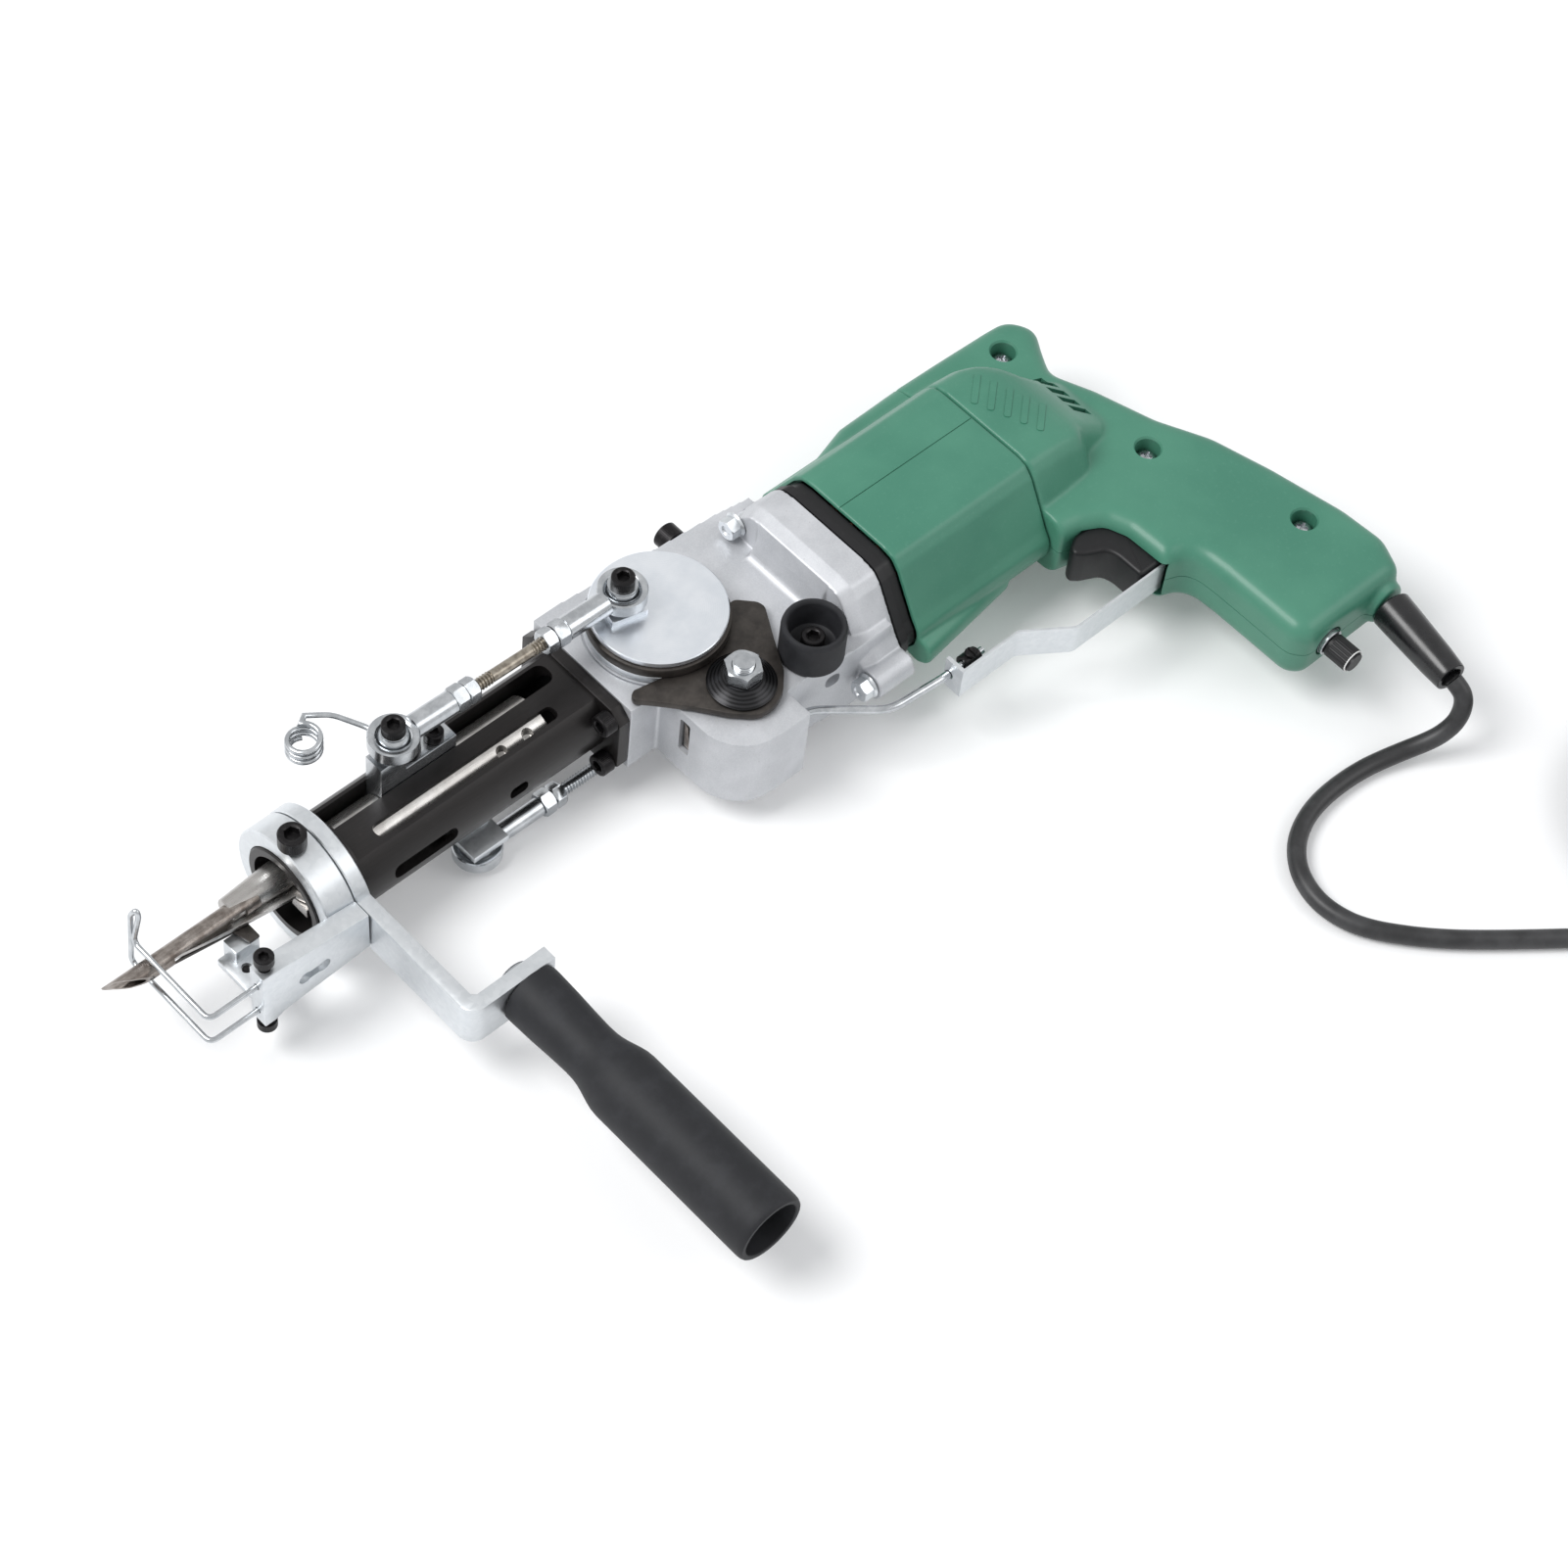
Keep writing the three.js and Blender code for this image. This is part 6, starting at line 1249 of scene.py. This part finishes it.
def motor_shell():
    body = lofted([section_ring(75.3), section_ring(142)])
    wing = rounded_slab([(88, MOTOR_Y), (88, 20), (114, 27.5), (156, 28.5), (156, MOTOR_Y)],
                        AXIS_Z - SLAB_HALF, AXIS_Z + SLAB_HALF, SLAB_RIM, 5)
    ear = bar((75.3, -56.6, -31.5), (121, -50.5, -31), 6, 0.5, 48)
    skin = together(body, wing, ear)
    skin = voxelled(skin, 0.7, 5, 0.35)
    behind = block(142, 170, -80, 60, -80, 40)
    wall = 2.8
    inner = lofted([section_ring(70, wall), section_ring(160, wall)])
    front_step = lofted([section_ring(70, 1.3), section_ring(77.4, 1.3)])
    seam = block(74, 150, -11.25, -10.85, AXIS_Z + 31.1, 20)
    cut(skin, behind, inner, front_step, seam)
    give(skin, "motor_shell_skin", "frame", GREEN, "motor_shell", angle=38)


def armature():
    def along(start, length, radius, edge=0.3):
        return lengthwise(MOTOR, start, start + length, radius, edge, 72)

    core = joined(along(-11.1, 163.1, 3.2), along(-11.1, 22.2, 3.6), along(88, 38, 20), along(126, 12, 11))
    blade = block(77, 83, 6, 24, -0.8, 0.8, 0.2)
    vanes = 12
    fan = repeated(moved(blade, TURNS["x"].inverted()), vanes, turn=(0, 0, math.tau / vanes))
    fan = moved(moved(fan, TURNS["x"]), Matrix.Translation((0, MOTOR_Y, AXIS_Z)))
    core = together(core, fan, along(77, 1.6, 23.5))
    give(core, "armature_wound", "armature", COPPER, "armature")


# Rear housing.

# The housing's outline and screw posts as shares of its reach and length from its front far corner.
HOUSING = [(-0.12, 0), (0.229, 0.003), (0.502, 0.007), (0.622, 0.011), (0.692, 0.072), (0.628, 0.123),
           (0.566, 0.179), (0.644, 0.271), (0.725, 0.405), (0.832, 0.514), (0.903, 0.651), (0.969, 0.818),
           (0.982, 0.925), (0.917, 1), (0.397, 1), (0.342, 0.972), (0.342, 0.776), (0.336, 0.7235),
           (0.306, 0.6955), (0.213, 0.678), (0.207, 0.578), (0.171, 0.5315), (0.087, 0.508), (-0.12, 0.483)]
HOUSING_X, HOUSING_Y, HOUSING_WIDE, HOUSING_LONG = 142.3, 28.5, 91.3, 179.0
BUTT = HOUSING_Y - HOUSING_LONG
HUMP_LONG = 52
# The hump's rings: how far along, how tall, how wide, and how far to the near side.
HUMP = [(0, 1, 1, 0), (0.13, 0.993, 0.993, 0.002), (0.25, 0.985, 0.985, 0.005), (0.36, 0.965, 0.95, 0.02),
        (0.43, 0.943, 0.915, 0.042), (0.5, 0.91, 0.86, 0.07), (0.55, 0.875, 0.765, 0.085),
        (0.6, 0.83, 0.66, 0.1), (0.65, 0.78, 0.62, 0.117), (0.7, 0.72, 0.6, 0.13), (0.82, 0.58, 0.58, 0.15),
        (1, 0.38, 0.45, 0.16)]
POSTS = {"rear": (0.471, 0.082), "middle": (0.563, 0.4564), "butt": (0.782, 0.7905)}


def on_housing(along, across):
    return HOUSING_X + along * HOUSING_WIDE, HOUSING_Y - across * HOUSING_LONG


def hump_ring(along, tall, wide, aside, inset=0.0, raised=0.0):
    middle = MOTOR_Y - aside * HUMP_LONG
    return [Vector((HOUSING_X + along * (HUMP_LONG - inset), middle + (p.y - MOTOR_Y) * wide,
                    AXIS_Z + (p.z - AXIS_Z) * (tall + raised))) for p in section_ring(0, inset, 1, 5)]


def hump_ribs():
    """Five faint raised bars on the hump, a little proud of its skin."""
    rib = block(-7.5, 7.5, -1.2, 1.2, -4, 12, 0, 1)
    moved(rib, Matrix.Translation((152.5, -2.0, 0)) @ Matrix.Rotation(math.radians(40), 4, "Z"))
    bars = repeated(rib, 5, (2.5, -6.0, 0))
    proud = lofted([hump_ring(*ring, raised=0.011) for ring in HUMP])
    return combined(bars, [proud], "INTERSECT")


def housing_halves():
    corner = [3, 5, 5, 9, 7, 7, 9, 14, 20, 30, 30, 20, 12, 6, 5, 8, 20, 16, 10, 3, 3, 6, 10, 3]
    slab = rounded_slab([on_housing(*share) for share in HOUSING], AXIS_Z - SLAB_HALF, AXIS_Z + SLAB_HALF,
                        SLAB_RIM, corner)
    hump = lofted([hump_ring(*ring) for ring in HUMP])
    cut(slab, block(120, HOUSING_X, -90, 60, -60, 10))
    boss = sidewise((CORD_X, AXIS_Z), BUTT + 8, BUTT - 3, 8.6, 1)
    skin = voxelled(together(slab, hump, boss), 0.9, 9, 0.4)
    tools = [block(136, HOUSING_X, -90, 60, -90, 40)]
    post = [(0, -17.3), (4.8, -17.3), (4.8, 1.1), (5.4, 1.9), (5.4, 4), (0, 4)]
    tools += [turned(post, (*on_housing(*share), AXIS_Z + 12.4), sides=48) for share in POSTS.values()]
    vent = prism([(179.5, -1.5), (187, -4.5), (187, -7.9), (179.5, -4.9)], -24, 20)
    tools.append(repeated(vent, 5, (0, -5.6, 0)))
    tools.append(block(HOUSING_X, 173.3, -93.4, -61.9, AXIS_Z - 8.8, AXIS_Z + 8.8))
    tools.append(sidewise((KNOB_X, AXIS_Z), BUTT - 2, BUTT + 7, 6.4, sides=48))
    tools.append(sidewise((CORD_X, AXIS_Z), BUTT - 5, BUTT + 7, 4, sides=48))
    hollow = lofted([hump_ring(*ring, inset=3) for ring in HUMP])
    moved(hollow, Matrix.Translation((-0.3, 0, 0)))
    cut(skin, *tools, hollow)
    skin = joined(skin, hump_ribs())
    for sign, name in ((1, "upper"), (-1, "lower")):
        maker = bmesh.new()
        maker.from_mesh(skin.data)
        plane = Vector((0, 0, AXIS_Z + sign * 0.15))
        done = bmesh.ops.bisect_plane(maker, geom=maker.verts[:] + maker.edges[:] + maker.faces[:],
                                      plane_co=plane, plane_no=(0, 0, -sign), clear_outer=True)
        edges = [e for e in done["geom_cut"] if isinstance(e, bmesh.types.BMEdge)]
        bmesh.ops.triangle_fill(maker, edges=edges, use_beauty=True)
        give(linked(maker), f"housing_{name}_skin", "frame", GREEN, "housing_" + name, angle=34)
    dropped(skin)


def housing_screws():
    profile = [(0, -15), (1.8, -15), (1.8, 0), (3.8, 0), (3.8, 0.5), (3.3, 1.5), (2.2, 2.2), (0, 2.4)]
    for name, share in POSTS.items():
        head = turned(profile, sides=48)
        cross = [block(-0.55, 0.55, -2.1, 2.1, 1.0, 4), block(-2.1, 2.1, -0.55, 0.55, 1.0, 4)]
        cut(head, *cross)
        spin = Matrix.Rotation(math.radians(20), 4, "Z")
        moved(head, Matrix.Translation((*on_housing(*share), AXIS_Z + 7.6)) @ spin)
        give(head, "housing_screw_head_" + name, "frame", BRIGHT, "housing_screw_" + name)


# Trigger, strip and brake rod.

ROD_Y = -73.6


def trigger_parts():
    shares = [(1, 0), (0.22, 0), (0.05, 0.09), (0, 0.2), (0.12, 0.3), (0.38, 0.42), (0.44, 0.56), (0.44, 1),
              (1, 1)]
    outline = [(141 + x * 27, -62.2 - y * 28) for x, y in shares]
    half = 8.5
    finger = prism(softened(outline, [2, 5, 5, 3, 6, 10, 10, 2, 2]), AXIS_Z - half, AXIS_Z + half, edge=1.6,
                   steps=4)
    give(finger, "trigger_body", "trigger", BLACK, "trigger")
    line = [(164.5, -91.3), (118.95, -91.3), (101.64, -79.3), (73.4, -79.3)]
    ways = [(0, 1), (0.27, 0.96), (0.27, 0.96), (0, 1)]
    thick = 0.9
    back = [(x + thick * nx, y + thick * ny) for (x, y), (nx, ny) in zip(line[::-1], ways[::-1])]
    line = softened([*line, *back], [0, 5, 5, 0, 0, 5, 5, 0])
    half = 7
    strip = prism([(x, y - 0.4) for x, y in line], AXIS_Z - half, AXIS_Z + half)
    tab = block(73.4, 75, -79.9, -71.3, AXIS_Z - half, AXIS_Z + half)
    cut(joined(strip, tab), lengthwise((ROD_Y, AXIS_Z), 70, 78, 2.0, sides=32))
    give(strip, "trigger_strip_body", "trigger", ZINC, "trigger_strip")
    route = [(3.5, -53.2), (24.4, -53.2), (46.5, -71.6), (71.4, ROD_Y), (90, ROD_Y)]
    rod = wire(bent([(*spot, AXIS_Z) for spot in route], 5), 1.5, 28)
    give(rod, "brake_rod_body", "trigger", BRIGHT, "brake_rod", angle=60)
    clamp = turned([(1.8, 0), (2.9, 0), (3.2, 0.3), (3.2, 7.2), (2.9, 7.5), (1.8, 7.5)], (80, ROD_Y, AXIS_Z),
                   (1, 0, 0))
    joined(clamp, upright((83.75, ROD_Y), AXIS_Z + 1.9, AXIS_Z + 4.5, 2.2, 0.3, 40))
    slot_cut = block(83.4, 84.1, -77, -70, AXIS_Z + 3.7, AXIS_Z + 6)
    give(cut(clamp, slot_cut), "rod_clamp_body", "trigger", OXIDE, "rod_clamp")


# Speed control, knob and cord guard.

def speed_parts():
    inner, outer = BUTT + 4.6, BUTT - 1.6
    can = sidewise((KNOB_X, AXIS_Z), inner, inner + 12, 7, 0.4)
    nut = sidewise((KNOB_X, AXIS_Z), BUTT + 0.5, outer, 5.4, 0.3)
    bush = sidewise((KNOB_X, AXIS_Z), inner + FIT, BUTT, 5.5)
    stem = sidewise((KNOB_X, AXIS_Z), outer + FIT, outer - 5, 2)
    give(joined(can, bush, nut, stem), "speed_control_body", "frame", BRIGHT, "speed_control")
    top = BUTT - 2.0
    flutes = 30
    knob = upright((0, 0), 0, 10, 4.7, 0.3, 96)
    flute = upright((5.05, 0), 1.4, 11, 0.5, sides=10)
    cut(knob, repeated(flute, flutes, turn=(0, 0, math.tau / flutes)),
        upright((0, 0), 9.5, 11, 3.7, sides=64), upright((0, 0), -1, 5.6, 2.3, sides=40))
    aimed(knob, (KNOB_X, top, AXIS_Z), (0, -1, 0))
    give(knob, "speed_knob_body", "speed_knob", BLACK, "speed_knob")
    ring = sleeve((0, 0, 9.6), (0, 0, 10.15), 4.6, 4.1, 0.1, 80)
    pointer = block(-0.35, 0.35, 0.4, 3.7, 9.45, 9.75, 0.08)
    mark = aimed(together(ring, pointer), (KNOB_X, top, AXIS_Z), (0, -1, 0))
    give(mark, "speed_knob_mark", "speed_knob", MARK)


def cord_guard():
    lean, length = -6.5, 35.0
    tilt = -7.8 * lean / length
    start = Vector((CORD_X, BUTT - 3 - FIT - tilt, AXIS_Z))
    end = Vector((CORD_X + lean, start.y - length, AXIS_Z))
    long = (end - start).length
    profile = [(3.8, 0), (7.5, 0), (7.8, 0.4), (7.75, 2.5), (7.6, 7), (7.3, long * 0.4), (6.8, long * 0.75),
               (6.2, long - 1), (6.0, long - 0.2), (5.7, long), (4.3, long), (3.8, long - 1.2)]
    give(turned(profile, start, end - start, 96), "cord_guard_sleeve", "frame", GLOSSY, "cord_guard")


for build in (gearbox_parts, tube_piece, clamp_piece, blades, needle_parts, upper_rod, crank, rocker,
              lower_rod, scissor, side_handle, end_bracket, motor_shell, armature, housing_halves,
              housing_screws, trigger_parts, speed_parts, cord_guard):
    build()


# Floor and light.

def seen_plainly(nodes, links):
    """1 for rays from the camera, from mirrors and through glass."""
    path, out = nodes.new("ShaderNodeLightPath"), None
    for name in ("Is Camera Ray", "Is Glossy Ray", "Is Transmission Ray"):
        if out is None:
            out = path.outputs[name]
            continue
        either = nodes.new("ShaderNodeMath")
        either.operation = "MAXIMUM"
        links.new(out, either.inputs[0])
        links.new(path.outputs[name], either.inputs[1])
        out = either.outputs[0]
    return out


def floor():
    finish = Finish("pale_floor", Roughness=0.9, Specular_IOR_Level=0.1)
    fine = finish.noise(30, 2)
    finish.set(Base_Color=finish.tint(fine, (0.86, 0.86, 0.86), (0.88, 0.88, 0.88)))
    shine = finish.node("Emission", {}, {"Color": (1, 1, 1), "Strength": 0.12})
    plain = Field(finish, finish.shader.outputs[0])
    both = finish.node("AddShader", {}, {0: plain, 1: shine})
    seen = Field(finish, seen_plainly(finish.tree.nodes, finish.tree.links))
    pick = finish.node("MixShader", {}, {0: seen, 1: plain, 2: both})
    finish.tree.links.new(pick.socket, finish.tree.nodes["Material Output"].inputs[0])
    maker = bmesh.new()
    bmesh.ops.create_grid(maker, x_segments=1, y_segments=1, size=4)
    plane = linked(maker)
    plane.name = "floor"
    plane.location.z = -0.0002
    plane.data.materials.append(finish.material)


def lamp(name, place, target, size, power):
    data = bpy.data.lights.new(name, "AREA")
    data.shape, data.size, data.energy = "DISK", size, power
    obj = bpy.data.objects.new(name, data)
    obj.location = place
    obj.rotation_mode = "QUATERNION"
    obj.rotation_quaternion = (Vector(target) - Vector(place)).to_track_quat("-Z", "Y")
    bpy.context.scene.collection.objects.link(obj)


def light():
    world = bpy.data.worlds.new("studio")
    bpy.context.scene.world = world
    world.use_nodes = True
    nodes, links = world.node_tree.nodes, world.node_tree.links
    soft = nodes["Background"]
    soft.inputs["Color"].default_value = (0.95, 0.97, 1, 1)
    soft.inputs["Strength"].default_value = 0.56
    white = nodes.new("ShaderNodeBackground")
    white.inputs["Strength"].default_value = 1.0
    pick = nodes.new("ShaderNodeMixShader")
    links.new(seen_plainly(nodes, links), pick.inputs[0])
    links.new(soft.outputs[0], pick.inputs[1])
    links.new(white.outputs[0], pick.inputs[2])
    links.new(pick.outputs[0], nodes["World Output"].inputs[0])
    lamp("key", (-0.9, 0.5, 1.5), (0, 0, 0), 1.0, 24)
    lamp("fill", (0.9, -1.0, 1.2), (0, 0, 0), 1.2, 6)


floor()
light()
bpy.context.scene.view_settings.view_transform = "Standard"
